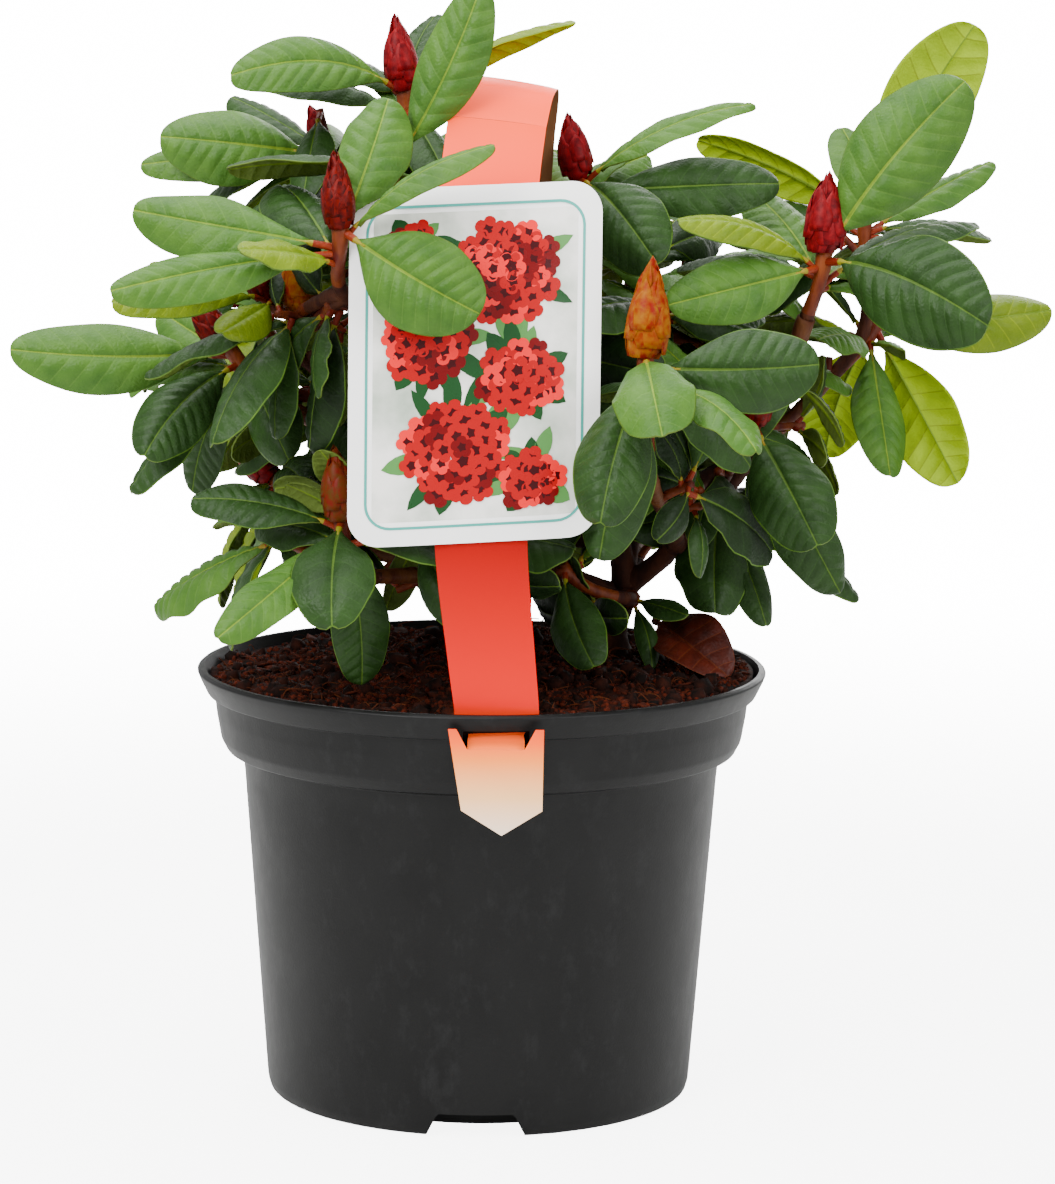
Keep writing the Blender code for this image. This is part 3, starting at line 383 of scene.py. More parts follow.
def makePot():
    shape = potShape
    pot = turnProfile("nurseryPot", potProfile(), shape["steps"])
    wide, top, high = shape["notchWidth"] / 2, shape["notchTop"] / 2, shape["notchHeight"]
    notch = ((-wide, -1), (wide, -1), (top, high - 1), (top - 1, high), (1 - top, high), (-top, high - 1))
    blocks = [cutAway(pot, f"notch{i}", notch, shape["channelOuter"] - 2, shape["foot"] + 3, turn)
              for i, turn in enumerate(shape["notchTurns"])]
    middle = shape["height"] - shape["lipDepth"] + shape["slotRise"]
    low, up = middle - shape["slotHeight"] / 2, middle + shape["slotHeight"] / 2
    for turn, shift in shape["slotTurns"]:
        left, right = shift - shape["slotWidth"] / 2, shift + shape["slotWidth"] / 2
        corners = ((left, low), (right, low), (right, up), (left, up))
        near, far = shape["collarRadius"] - 4, shape["lipRadius"] + 2
        blocks.append(cutAway(pot, f"slot{turn}", corners, near, far, turn))
    radius = shape["drainRadius"] * millimetre
    for i in range(shape["drainHoles"]):
        place = heading(360 / shape["drainHoles"] * i, 0) * (shape["channelInner"] + shape["channelOuter"]) / 2
        bm = bmesh.new()
        bmesh.ops.create_cone(bm, cap_ends=True, segments=24, radius1=radius, radius2=radius,
                              depth=shape["drainDepth"] * millimetre,
                              matrix=Matrix.Translation(mm(place.x, place.y, shape["channelHeight"])))
        blocks.append(subtract(pot, f"drain{i}", meshFromBm(f"drain{i}", bm)))
    mesh = bakeModifiers(pot)
    for block in blocks:
        bpy.data.objects.remove(block)
    mesh.materials.clear()
    mesh.materials.append(blackPolypropylene())
    creaseAt(mesh, shape["crease"])
    keep(pot, "pot", "pot")


makePot()
print("pot made")


# compost

soilShape = {"top": 147.0, "foot": (43.0, 10.0), "flat": 15.0, "fall": 5.0, "fallOver": 90.0, "leftBack": 1.2,
             "lump": 3.6, "lumpSize": 17.0, "clod": 2.4, "clodSize": 9.0, "radius": 90.6, "rim": (139.4, 142.0),
             "rimFrom": 0.88, "rings": 64, "spokes": 180, "seed": 5, "scatterReach": 88.5, "trunkRoom": 8.0,
             "under": ((90.2, 137.3), (87.1, 135.2), (84.8, 121.5), (77.2, 117.0), (70.0, 8.6))}
# Loose pieces: name, shape, how many to a square metre, smallest and largest size, tilt in radians
# and the material with its two colours and the size of its clouds.
soilScatter = (
    ("peatCrumbs", "crumb", 210000, 0.7, 2.5, 3.0, ("peat crumbs", "#120602", "#521c0b", 3)),
    ("peatClods", "crumb", 11000, 2.4, 7.5, 3.0, None),
    ("coirFibres", "fibre", 26000, 2.5, 9.0, 0.9, ("coir fibre", "#200d06", "#5c2c12", 6)),
    ("barkChips", "chip", 6500, 3.0, 7.0, 0.5, ("composted bark", "#180a06", "#481c0e", 4)),
)


def wetPeat(name, dark, light, grain):
    # Peat and coir: fibrous and matt, red-brown where it has dried and nearly black where it is wet.
    material, tree, shader = startMaterial(name, dark, 0.92, {"Specular IOR Level": 0.12})
    _, cloud, _ = mixByNoise(tree, shader, dark, light, grain, 5, 0.38, 0.66)
    addBump(tree, shader, cloud, 0.6, 0.001)
    return material


def soilHeight(x, y):
    shape = soilShape
    away = math.hypot(x - shape["foot"][0], y - shape["foot"][1])
    fall = min(1.0, max(0.0, away - shape["flat"]) / shape["fallOver"])
    lump = noise.noise(Vector((x, y, 0)) / shape["lumpSize"]) - 0.4
    leftBack = max(0.0, -x + 0.4 * y) / shape["fallOver"]
    height = shape["top"] - 0.8 * min(1, away / shape["flat"]) - shape["fall"] * fall
    height += shape["lump"] * lump * min(1, fall * 4) - shape["leftBack"] * leftBack * fall
    clod = noise.fractal(Vector((x, y, 3)) / shape["clodSize"], 0.8, 2.1, 4)
    height += shape["clod"] * clod * min(1, 0.25 + fall * 4)
    # Against the wall it stays within the lip.
    outer = max(0.0, math.hypot(x, y) / shape["radius"] - shape["rimFrom"]) / 0.12
    low, high = shape["rim"]
    return height + (min(high, max(low, height)) - height) * min(1.0, outer)


def makeSoilBody(materials):
    shape, spokes = soilShape, soilShape["spokes"]
    turns = [(math.cos(math.tau * j / spokes), math.sin(math.tau * j / spokes)) for j in range(spokes)]
    points = [(0, 0, soilHeight(0, 0))]
    for i in range(1, shape["rings"] + 1):
        r = shape["radius"] * i / shape["rings"]
        points += [(r * x, r * y, soilHeight(r * x, r * y)) for x, y in turns]
    for r, z in shape["under"]:
        points += [(r * x, r * y, z) for x, y in turns]
    total = shape["rings"] + len(shape["under"])
    faces = [(0, 1 + j, 1 + (j + 1) % spokes) for j in range(spokes)]
    faces += [(a, a + spokes, b + spokes, b) for a, b in ringPairs(total, spokes, 1)]
    points.append((0, 0, shape["under"][-1][1]))
    last = 1 + (total - 1) * spokes
    faces += [(len(points) - 1, last + (j + 1) % spokes, last + j) for j in range(spokes)]
    return skinObject("compost", points, faces, materials)


def soilPieces():
    # The shapes that get scattered, about 1 mm across, each of a few dozen faces.
    shapes = {"crumb": [], "fibre": [], "chip": []}
    rng = random.Random(soilShape["seed"])
    for kind, amount in (("crumb", 3), ("chip", 2)):
        for i in range(amount):
            bm = bmesh.new()
            bmesh.ops.create_icosphere(bm, subdivisions=1, radius=0.5 * millimetre)
            for vert in bm.verts:
                vert.co *= rng.uniform(0.65, 1.3)
                if kind == "chip":
                    vert.co.z *= 0.22
                    vert.co.x *= 1.5
            shapes[kind].append(newObject(f"{kind}{i}", meshFromBm(kind, bm)))
    for i in range(3):
        bend = rng.uniform(0.3, 1.2)
        path = [(t - 0.5, bend * 0.35 * math.sin(t * 3 + i), bend * 0.3 * math.sin(t * math.pi))
                for t in (k / 6 for k in range(7))]
        shapes["fibre"].append(skinObject(f"fibre{i}", *sweepTube(path, [0.024] * 7, 4)))
    return shapes


def scatterTree():
    # Scatters a collection's shapes over a surface. Named inputs set how many, how big and what of.
    tree, into = newNodeGroup("Scatter on compost", (
        ("Geometry", "Geometry"), ("Pieces", "Collection"), ("Density", "Float"), ("Smallest", "Float"),
        ("Largest", "Float"), ("Tilt", "Float"), ("Seed", "Int"), ("Material", "Material")))
    spread = addNode(tree, "GeometryNodeDistributePointsOnFaces", {},
                     {"Mesh": into["Geometry"], "Density": into["Density"], "Seed": into["Seed"]})
    back = addNode(tree, "ShaderNodeMath", {"operation": "MULTIPLY", 1: -1.0}, {0: into["Tilt"]})
    low = addNode(tree, "ShaderNodeCombineXYZ", {}, {"X": back.outputs[0], "Y": back.outputs[0]})
    high = addNode(tree, "ShaderNodeCombineXYZ", {"Z": math.tau}, {"X": into["Tilt"], "Y": into["Tilt"]})
    turn = addNode(tree, "FunctionNodeRandomValue", {"data_type": "FLOAT_VECTOR"},
                   {0: low.outputs[0], 1: high.outputs[0], "Seed": into["Seed"]})
    size = addNode(tree, "FunctionNodeRandomValue", {"data_type": "FLOAT"},
                   {2: into["Smallest"], 3: into["Largest"], "Seed": into["Seed"]})
    pieces = addNode(tree, "GeometryNodeCollectionInfo", {"Separate Children": True, "Reset Children": True},
                     {"Collection": into["Pieces"]})
    placed = addNode(tree, "GeometryNodeInstanceOnPoints", {"Pick Instance": True},
                     {"Points": spread.outputs["Points"], "Instance": pieces.outputs[0],
                      "Rotation": turn.outputs[0], "Scale": size.outputs[1]})
    real = addNode(tree, "GeometryNodeRealizeInstances", {}, {"Geometry": placed.outputs[0]})
    coated = addNode(tree, "GeometryNodeSetMaterial", {},
                     {"Geometry": real.outputs[0], "Material": into["Material"]})
    addNode(tree, "NodeGroupOutput", {}, {"Geometry": coated.outputs[0]})
    return tree


def scatterOnSoil(name, tree, patch, shapes, values):
    group = bpy.data.collections.new(name + "Shapes")
    for shape in shapes:
        group.objects.link(shape)
    obj = newObject(name, patch.data.copy())
    modifier = obj.modifiers.new("Scatter", "NODES")
    modifier.node_group = tree
    setInputs(modifier, {"Pieces": group, **values})
    bakeModifiers(obj).shade_smooth()
    bpy.data.collections.remove(group)
    keep(obj, "compost")


def makeSoil():
    peat = wetPeat("moist peat", "#0c0503", "#2c1007", 4)
    body = makeSoilBody([peat])
    keep(body, "compost", "compost")
    # Scatter only on what lies inside the wall and clear of the trunk.
    bm = bmesh.new()
    bm.from_mesh(body.data)
    foot = mm(*soilShape["foot"], 0).xy
    reach, room = soilShape["scatterReach"] * millimetre, soilShape["trunkRoom"] * millimetre
    spare = [face for face in bm.faces if face.normal.z < 0.2 or face.calc_center_median().xy.length > reach
             or (face.calc_center_median().xy - foot).length < room]
    bmesh.ops.delete(bm, geom=spare, context="FACES")
    patch = newObject("soilPatch", meshFromBm("soilPatch", bm, turnOut=False))
    tree, shapes = scatterTree(), soilPieces()
    for i, (name, kind, density, smallest, largest, tilt, look) in enumerate(soilScatter):
        scatterOnSoil(name, tree, patch, shapes[kind], {
            "Density": float(density), "Smallest": smallest, "Largest": largest, "Tilt": tilt,
            "Seed": soilShape["seed"] + i, "Material": wetPeat(*look) if look else peat})
    for shape in [patch, *sum(shapes.values(), [])]:
        bpy.data.objects.remove(shape)


makeSoil()
print("compost made")


# label strap and card. Rows are x, y, z of the strap's middle line, its width, yaw and side slope.

strapShape = {
    "thick": 0.6, "camber": 0.5, "columns": 10, "perSpan": 6,
    "tail": ((5.6, -95.0, 130.0, 18, 0, 0), (5.6, -93.6, 132.4, 18, 0, 0), (5.6, -90.2, 134.2, 18, 0, 0),
             (5.6, -88.4, 136.6, 18, 0, 0), (5.6, -88.2, 139.6, 26, 0, 0)),
    "front": ((5.6, -90.0, 144.8, 26.7, 0, 0), (4.0, -92.4, 160, 27.5, 2, 0), (0.5, -93.5, 195, 29, 7, 0),
              (0.0, -93.5, 230, 30, 9, 0), (0.3, -91.5, 262, 30.5, 9, 0), (0.8, -86.0, 292, 31, 8, 0),
              (2.2, -76.0, 312, 31, 6, 3), (4.0, -65.0, 327, 31, 4, 6)),
    "crest": ((4.0, -65.0, 327, 31, 4, 6), (6.0, -53.5, 336, 31, 2, 8), (7.8, -40.0, 338.5, 31, 0, 8),
              (8.0, -27.0, 333.5, 31, 0, 6), (7.0, -18.0, 323, 31, 0, 4)),
    "back": ((7.0, -18.0, 323, 31, 0, 4), (5.5, 0.0, 296, 31, 0, 2), (4.0, 30.0, 248, 30, 0, 0),
             (3.0, 60.0, 202, 29, 0, 0), (3.0, 81.0, 168, 27.5, 0, 0), (3.0, 90.0, 144.8, 26.7, 0, 0)),
    "arrow": {"top": 15.1, "hook": 2.7, "throat": 9.0, "throatDrop": 6.5, "shoulder": 12.8, "drop": 26.0,
              "tip": 8.0, "skew": 2.0, "rise": 4.5, "clear": 0.95, "thick": 0.75, "bevel": 0.2},
    "inkFrom": 0.100, "inkTo": 0.340,
    "ink": ((0.0, "#fff2e4"), (0.07, "#ffc284"), (0.12, "#ff8a38"), (0.145, "#ff5c0e"), (0.19, "#d80c00"),
            (0.40, "#a00000"), (0.72, "#b00000"), (0.86, "#ff4a2c"), (0.95, "#ff4a18"), (1.0, "#ff4000")),
}
cardShape = {"width": 79.0, "height": 110.0, "corner": 10.0, "middle": (-2.0, 253.0), "thick": 0.5,
             "rise": 2.5, "flat": 17.0, "bow": 110.0, "clear": 0.6, "columns": 44, "rows": 60,
             "line": 5.2, "lineWide": 0.85, "lineCorner": 3.5, "print": 7.6, "crease": 50,
             "bridge": 48, "seed": 23}
# Heads of flowers are (across, up, radius) from the card's middle.
printShape = {"heads": ((9, 29, 17), (-15, 9, 14), (14, -4, 12), (-6, -26, 17), (18, -36, 9), (-20, 37, 7)),
              "leaves": 11, "leafReach": (3, 9), "leafWide": (2.0, 3.2), "flower": (3.6, 5.0), "margin": 1.0,
              "lift": 0.2, "leafLift": 0.0012, "flowerLift": 0.0016, "throatLift": 0.0008,
              "colours": (("printed wash", "#d4dccf"), ("printed line", "#3f9c90"),
                          ("print leaf dark", "#16401c"), ("print leaf light", "#4c8040"),
                          ("print red deep", "#620004"), ("print red", "#a20006"),
                          ("print red light", "#e0181c"), ("print throat", "#340004"))}


def printedPlastic():
    # Printed, varnished polypropylene sheet: bright ink under a clear gloss, salmon at the crest,
    # strongest red below the card and fading to cream at the arrow's tip.
    material, tree, shader = startMaterial("printed polypropylene strap", "#e60400", 0.34,
                                           {"Specular IOR Level": 0.1, "IOR": 1.49})
    place = addNode(tree, "ShaderNodeTexCoord")
    part = addNode(tree, "ShaderNodeSeparateXYZ", {}, {"Vector": place.outputs["Object"]})
    up = addNode(tree, "ShaderNodeMapRange",
                 {"From Min": strapShape["inkFrom"], "From Max": strapShape["inkTo"]},
                 {"Value": part.outputs["Z"]})
    ramp = addNode(tree, "ShaderNodeValToRGB", {}, {"Fac": up.outputs["Result"]})
    stops, bar = strapShape["ink"], ramp.color_ramp
    for element, (position, code) in zip(bar.elements, (stops[0], stops[-1])):
        element.position, element.color = position, hexColour(code)
    for position, code in stops[1:-1]:
        bar.elements.new(position).color = hexColour(code)
    tree.links.new(ramp.outputs["Color"], shader.inputs["Base Color"])
    addBump(tree, shader, objectNoise(tree, 60.0, 2.0), 0.08, 0.002)
    return material


def plainPlastic(name, colour, roughness):
    # The unprinted side of the same sheet, or its card: smooth, with a faint bloom of dust.
    material, tree, shader = startMaterial(name, colour, roughness, {"IOR": 1.49, "Specular IOR Level": 0.25})
    wave = objectNoise(tree, 90.0, 3.0)
    rough = addNode(tree, "ShaderNodeMapRange", {"To Min": roughness - 0.08, "To Max": roughness + 0.12},
                    {"Value": wave})
    tree.links.new(rough.outputs["Result"], shader.inputs["Roughness"])
    addBump(tree, shader, wave, 0.05, 0.002)
    return material


def strapBand(sheaf, rows):
    # A thin cambered band with rounded edges. Slot 0 is the printed side, slot 1 the other.
    path = smoothPath(rows, strapShape["perSpan"])
    columns, thick, last = strapShape["columns"], strapShape["thick"], len(path) - 1
    points = []
    for i, (x, y, z, width, yaw, slope) in enumerate(path):
        along = Vector(path[min(i + 1, last)][:3]) - Vector(path[max(i - 1, 0)][:3])
        across = heading(yaw, -slope)
        out = across.cross(along).normalized()
        ring = []
        for j in range(columns + 1):
            side = 2 * j / columns - 1
            spot = Vector((x, y, z)) + across * side * width / 2 + out * strapShape["camber"] * (0.5 - side**2)
            ring.append((spot, thick / 2 * (1 - 0.5 * abs(side)**8)))
        points += [spot + out * half for spot, half in ring] + [spot - out * half for spot, half in ring[::-1]]
    around = 2 * (columns + 1)
    faces = [(a, a + around, b + around, b) for a, b in ringPairs(len(path), around)]
    slots = ([0] * columns + [1] * (around - columns)) * last
    for start in (0, last * around):
        for j in range(columns):
            quad = (start + j, start + j + 1, start + around - 2 - j, start + around - 1 - j)
            faces.append(quad[::-1] if start else quad)
            slots.append(1)
    sheaf.add(points, faces, slots)


def arrowPlate(x, side, materials):
    # The barbed arrow end that hangs outside the lip.
    shape = strapShape["arrow"]
    edge = potShape["height"] - potShape["lipDepth"] + shape["rise"]
    foot, throat = edge - shape["drop"], edge - shape["throatDrop"]
    top, inner, wide = shape["top"], shape["top"] - shape["hook"], shape["shoulder"]
    outline = [(-top, edge), (shape["skew"] - wide, foot), (shape["skew"], foot - shape["tip"]),
               (wide + shape["skew"], foot), (top, edge), (inner, edge), (shape["throat"], throat),
               (-shape["throat"], throat), (-inner, edge)]
    bm = bmesh.new()
    front = side * (potShape["lipRadius"] + shape["clear"])
    face = bm.faces.new([bm.verts.new(mm(x + a, front, z)) for a, z in outline])
    grown = bmesh.ops.extrude_face_region(bm, geom=[face])
    for item in grown["geom"]:
        if isinstance(item, bmesh.types.BMVert):
            item.co.y -= side * shape["thick"] * millimetre
    plate = newObject("arrow", meshFromBm("arrow", bm), materials)
    bevel = plate.modifiers.new("Edges", "BEVEL")
    bevel.width, bevel.segments, bevel.limit_method = shape["bevel"] * millimetre, 2, "ANGLE"
    mesh = bakeModifiers(plate)
    for face in mesh.polygons:
        face.material_index = 1 if face.normal.y * side < -0.5 else 0
    bpy.data.objects.remove(plate)
    return mesh


def makeStrap():
    shape = strapShape
    frontX, backX = shape["tail"][0][0], shape["back"][-1][0]
    backTail = tuple((backX, -y, z, width, 0, 0) for _, y, z, width, _, _ in reversed(shape["tail"]))
    ink = [printedPlastic(), plainPlastic("unprinted side of the strap", "#8a5c3c", 0.45)]
    for part, rows, arrowX, side in (("Front", shape["tail"] + shape["front"], frontX, -1),
                                     ("Crest", shape["crest"], 0, 0),
                                     ("Back", shape["back"] + backTail, backX, 1)):
        sheaf = Sheaf()
        strapBand(sheaf, rows)
        if side:
            sheaf.addMesh(arrowPlate(arrowX, side, ink), Matrix.Scale(1 / millimetre, 4))
        obj = sheaf.build("strap" + part, ink)
        creaseAt(obj.data, cardShape["crease"])
        keep(obj, "label strap", "label_strap_" + part.lower())


strapLine = smoothPath(strapShape["front"], strapShape["perSpan"])


def strapAt(z):
    # The strap's depth and yaw at a height on its front.
    for low, high in zip(strapLine, strapLine[1:]):
        if low[2] <= z <= high[2]:
            t = (z - low[2]) / (high[2] - low[2])
            return low[1] + t * (high[1] - low[1]), low[4] + t * (high[4] - low[4])
    return strapLine[-1][1], strapLine[-1][4]


def cardPoint(across, up, lift=0.0):
    # A place on the card's front: across and up from its middle, lift out of the sheet.
    shape = cardShape
    z = shape["middle"][1] + up + across * math.tan(math.radians(shape["rise"]))
    y, yaw = strapAt(z)
    # Below its top edge the card bridges the strap's curve.
    ease = sum(strapAt(z + step)[0] for step in (-9, -6, -3, 3, 6, 9)) / 6
    y = (y + 3 * ease) / 4 if up < shape["bridge"] else y
    y += max(0.0, abs(across) - shape["flat"]) ** 2 / (2 * shape["bow"])
    y += (math.tan(math.radians(yaw)) * across - strapShape["thick"] / 2 - shape["thick"] * 1.5
          - shape["clear"] - strapShape["camber"])
    x = shape["middle"][0] + across * math.cos(math.radians(yaw))
    return (x, y - lift, z)


def cardHalfHeight(across, inset=0.0):
    half, tall = cardShape["width"] / 2 - inset, cardShape["height"] / 2 - inset
    corner = max(0.5, cardShape["corner"] - inset)
    near = max(0.0, abs(across) - (half - corner))
    return tall - corner + math.sqrt(max(0.0, corner**2 - near**2))


def cardSheet(sheaf, inset, front, back, slot):
    # A sheet of the card's outline drawn in by inset, from lift front to lift back.
    columns, rows = cardShape["columns"], cardShape["rows"]
    half = cardShape["width"] / 2 - inset
    points = []
    for lift in (front, back):
        for i in range(columns + 1):
            across = half * math.sin(math.pi / 2 * (2 * i / columns - 1))
            tall = cardHalfHeight(across, inset)
            points += [cardPoint(across, tall * (2 * j / rows - 1), lift) for j in range(rows + 1)]
    sheaf.add(points, plateFaces(rows, columns, 1, rows + 1), slot)


def cardLine(sheaf, slot):
    # The thin line that runs round the card inside its edge.
    rings = []
    for inset in (cardShape["line"], cardShape["line"] + cardShape["lineWide"]):
        corner = cardShape["corner"] - inset + cardShape["lineCorner"]
        wide, high = cardShape["width"] / 2 - inset - corner, cardShape["height"] / 2 - inset - corner
        arcs = [[(sx * wide + corner * math.cos(math.radians(90 * i + 90 * k / 8)),
                  sy * high + corner * math.sin(math.radians(90 * i + 90 * k / 8))) for k in range(9)]
                for i, (sx, sy) in enumerate(((1, 1), (-1, 1), (-1, -1), (1, -1)))]
        ring = []
        for arc, following in zip(arcs, arcs[1:] + arcs[:1]):
            (ax, ay), (bx, by) = arc[-1], following[0]
            ring += arc + [(ax + (bx - ax) * t / 60, ay + (by - ay) * t / 60) for t in range(1, 60)]
        rings.append(ring)
    count = len(rings[0])
    points = [cardPoint(a, b, 0.16) for ring in rings for a, b in ring]
    faces = [(i, count + i, count + (i + 1) % count, (i + 1) % count) for i in range(count)]
    sheaf.add(points, faces, slot)


def printedFlat(sheaf, outline, lift, slot):
    # A flat printed shape as a fan from its middle.
    middle = tuple(sum(p[i] for p in outline) / len(outline) for i in (0, 1))
    points = [cardPoint(*middle, lift)] + [cardPoint(a, b, lift) for a, b in outline]
    faces = [(0, i + 1, (i + 1) % len(outline) + 1) for i in range(len(outline))]
    sheaf.add(points, faces, slot)


def insidePrint(outline):
    spare = cardShape["print"] + printShape["margin"]
    wide = cardShape["width"] / 2 - spare
    return all(abs(a) < wide and abs(b) < cardHalfHeight(a, spare) for a, b in outline)


def printedLeaf(across, up, size, angle, reach, wide):
    outline = []
    for k in range(12):
        t = k / 6 if k <= 6 else (12 - k) / 6
        side = (-1 if k < 6 else 1) * wide * math.sin(math.pi * t) ** 0.8
        along = size * 0.5 + (reach - size * 0.5) * t
        outline.append((across + along * math.cos(angle) - side * math.sin(angle),
                        up + along * math.sin(angle) + side * math.cos(angle)))
    return outline


def printedFlower(x, y, big, turn):
    # Five lobes with ruffled edges.
    outline = []
    for k in range(30):
        petal = math.tau * k / 30
        radius = big * (0.74 + 0.26 * abs(math.cos(2.5 * petal)) ** 0.6 + 0.05 * math.sin(15 * petal))
        outline.append((x + radius * math.cos(petal + turn), y + radius * math.sin(petal + turn)))
    return outline


def printedThroat(x, y, big):
    return [(x + big * 0.3 * math.cos(math.tau * k / 10) * (1 + 0.5 * (k % 2)),
             y + big * 0.3 * math.sin(math.tau * k / 10) * (1 + 0.5 * (k % 2))) for k in range(10)]


def makeCard():
    # A made-up design: round heads of ruffled flowers over pointed leaves on a pale wash.
    art = printShape
    materials = [plainPlastic("white polypropylene card", "#fffffd", 0.28)]
    materials += [plainPlastic(name, code, 0.26) for name, code in art["colours"]]
    wash = materials[1].node_tree
    mixByNoise(wash, wash.nodes["Principled BSDF"], "#8fa08c", "#f2f0ea", 26, 5, 0.3, 0.62)
    rng = random.Random(cardShape["seed"])
    sheaf = Sheaf()
    cardSheet(sheaf, 0.0, 0.0, -cardShape["thick"], 0)
    cardSheet(sheaf, cardShape["print"], 0.08, 0.02, 1)
    cardLine(sheaf, 2)
    lift = art["lift"]
    for across, up, size in art["heads"]:
        for i in range(art["leaves"]):
            angle = math.tau * (i + rng.uniform(-0.3, 0.3)) / art["leaves"]
            reach, wide = size + rng.uniform(*art["leafReach"]), rng.uniform(*art["leafWide"])
            outline = printedLeaf(across, up, size, angle, reach, wide)
            if insidePrint(outline):
                printedFlat(sheaf, outline, lift, rng.choice((3, 3, 4)))
                lift += art["leafLift"]
    for across, up, size in art["heads"]:
        total = int(size * size / 9) + 5
        for i in range(total, 0, -1):
            away, angle = size * math.sqrt(i / total) * 0.9, i * 2.4 + size
            x, y = across + away * math.cos(angle), up + away * math.sin(angle) * 0.92
            big, turn = rng.uniform(*art["flower"]), rng.uniform(0, math.tau)
            outline = printedFlower(x, y, big, turn)
            if insidePrint(outline):
                printedFlat(sheaf, outline, lift, rng.choice((5, 6, 6, 6, 7)))
                printedFlat(sheaf, printedThroat(x, y, big), lift + art["throatLift"], 8)
                lift += art["flowerLift"]
    card = sheaf.build("labelCard", materials)
    creaseAt(card.data, cardShape["crease"])
    keep(card, "label card", "label_card")


makeStrap()
makeCard()
print("label made")


# trunk and boughs, each with its parent, its radii and the points of its middle line

trunkShape = {"foot": (43.0, 10.0, 147.3),
              "path": ((0, 0, -1.5), (0, 0, 2), (1, 0, 8), (3.5, -1, 17), (5, -2, 26)),
              "radii": (8.4, 6.6, 5.0, 4.6, 4.3)}
boughPlan = {
    "bough_right_low": ("trunk", 3.4, 2.6, ((47, 9, 168), (60, 0, 180), (71, -10, 196), (80, -20, 212))),
    "bough_left_low": ("trunk", 3.2, 2.4, ((46, 9, 165), (22, -8, 176), (-10, -42, 180), (-34, -70, 183))),
    "bough_centre": ("trunk", 3.8, 2.4,
        ((48, 8, 170), (44, 4, 190), (32, -6, 232), (24, -16, 268), (26, -21, 286))),
    "bough_back": ("trunk", 3.2, 2.4, ((47, 9, 166), (50, 32, 182), (52, 58, 208), (56, 70, 232))),
    "bough_right": ("bough_right_low", 3.2, 3.0,
        ((66, -5, 188), (86, -4, 212), (98, -12, 240), (105, -19, 262))),
    "bough_right_back": ("bough_back", 2.8, 2.4,
        ((50, 36, 185), (74, 42, 200), (100, 44, 218), (118, 46, 236))),
    "bough_centre_right": ("bough_right_low", 2.8, 2.3,
        ((64, -3, 185), (62, -30, 196), (55, -62, 210), (51, -82, 230))),
    "bough_left": ("bough_left_low", 2.8, 2.3,
        ((20, -10, 176), (-10, -16, 196), (-42, -22, 218), (-66, -26, 234))),
    "bough_left_upper": ("bough_centre", 2.6, 2.3,
        ((36, -3, 218), (8, -26, 236), (-22, -56, 254), (-40, -76, 270))),
    "bough_top": ("bough_centre", 2.6, 2.3,
        ((29, -9, 242), (8, -10, 268), (-12, -10, 290), (-22, -11, 310))),
    "bough_back_left": ("bough_back", 2.6, 2.2,
        ((49, 28, 179), (14, 42, 184), (-28, 56, 206), (-52, 66, 228))),
    "bough_back_centre": ("bough_back", 2.4, 2.2,
        ((51, 46, 195), (44, 76, 200), (24, 98, 206), (4, 100, 228))),
    "bough_heart": ("bough_centre", 2.4, 2.2, ((41, 1, 204), (46, 16, 222), (48, 28, 250))),
    "bough_front_low": ("bough_left_low", 2.0, 1.8, ((12, -17, 177), (0, -32, 185), (-11, -48, 190))),
    "bough_low_right": ("trunk", 2.2, 1.8, ((47, 10, 168), (60, 17, 176), (71, 16, 187))),
    "bough_foot": ("trunk", 1.7, 1.4, ((47, 9, 162), (49, 0, 165))),
    "bough_low_back": ("trunk", 2.6, 2.1, ((46, 10, 161), (52, 46, 168), (54, 84, 175))),
    "bough_low_left_back": ("trunk", 2.6, 2.1,
        ((45, 11, 163), (10, 34, 167), (-32, 52, 171), (-54, 60, 180))),
}
barkShape = {"grain": 0.28, "wrinkle": 0.2, "scar": 0.55, "scarGap": 13.0, "flare": 0.45, "seed": 3}


def barkMaterial(name, dark, light, grain, roughness):
    # Thin rhododendron bark: red-brown, matt, and finely cracked along the stem.
    material, tree, shader = startMaterial(name, dark, roughness, {"Specular IOR Level": 0.2})
    scaled, _, _ = mixByNoise(tree, shader, dark, light, grain, 5, 0.36, 0.68, (1, 1, 0.4))
    crack = addNode(tree, "ShaderNodeTexNoise", {"Scale": 900.0, "Detail": 4.0}, {"Vector": scaled})
    addBump(tree, shader, crack.outputs["Fac"], 0.5, 0.0006)
    return material


def barkRelief(seed, strength):
    # Long cracks and wrinkles, with a raised ring of leaf scars where each year's whorl stood.
    def relief(distance, angle):
        along = noise.noise(Vector((math.cos(angle) * 2.2, math.sin(angle) * 2.2, distance / 9 + seed)))
        fine = noise.noise(Vector((math.cos(angle) * 5, math.sin(angle) * 5, distance / 2.2 + seed * 3)))
        ring = distance / barkShape["scarGap"] % 1
        bump = math.exp(-((ring - 0.5) * barkShape["scarGap"] / 1.4) ** 2)
        scar = bump * max(0.0, math.sin(angle * 3 + math.floor(distance / barkShape["scarGap"]) * 1.9 + seed))
        cracks = barkShape["grain"] * along + barkShape["wrinkle"] * fine
        return strength * cracks + barkShape["scar"] * scar * 0.6
    return relief


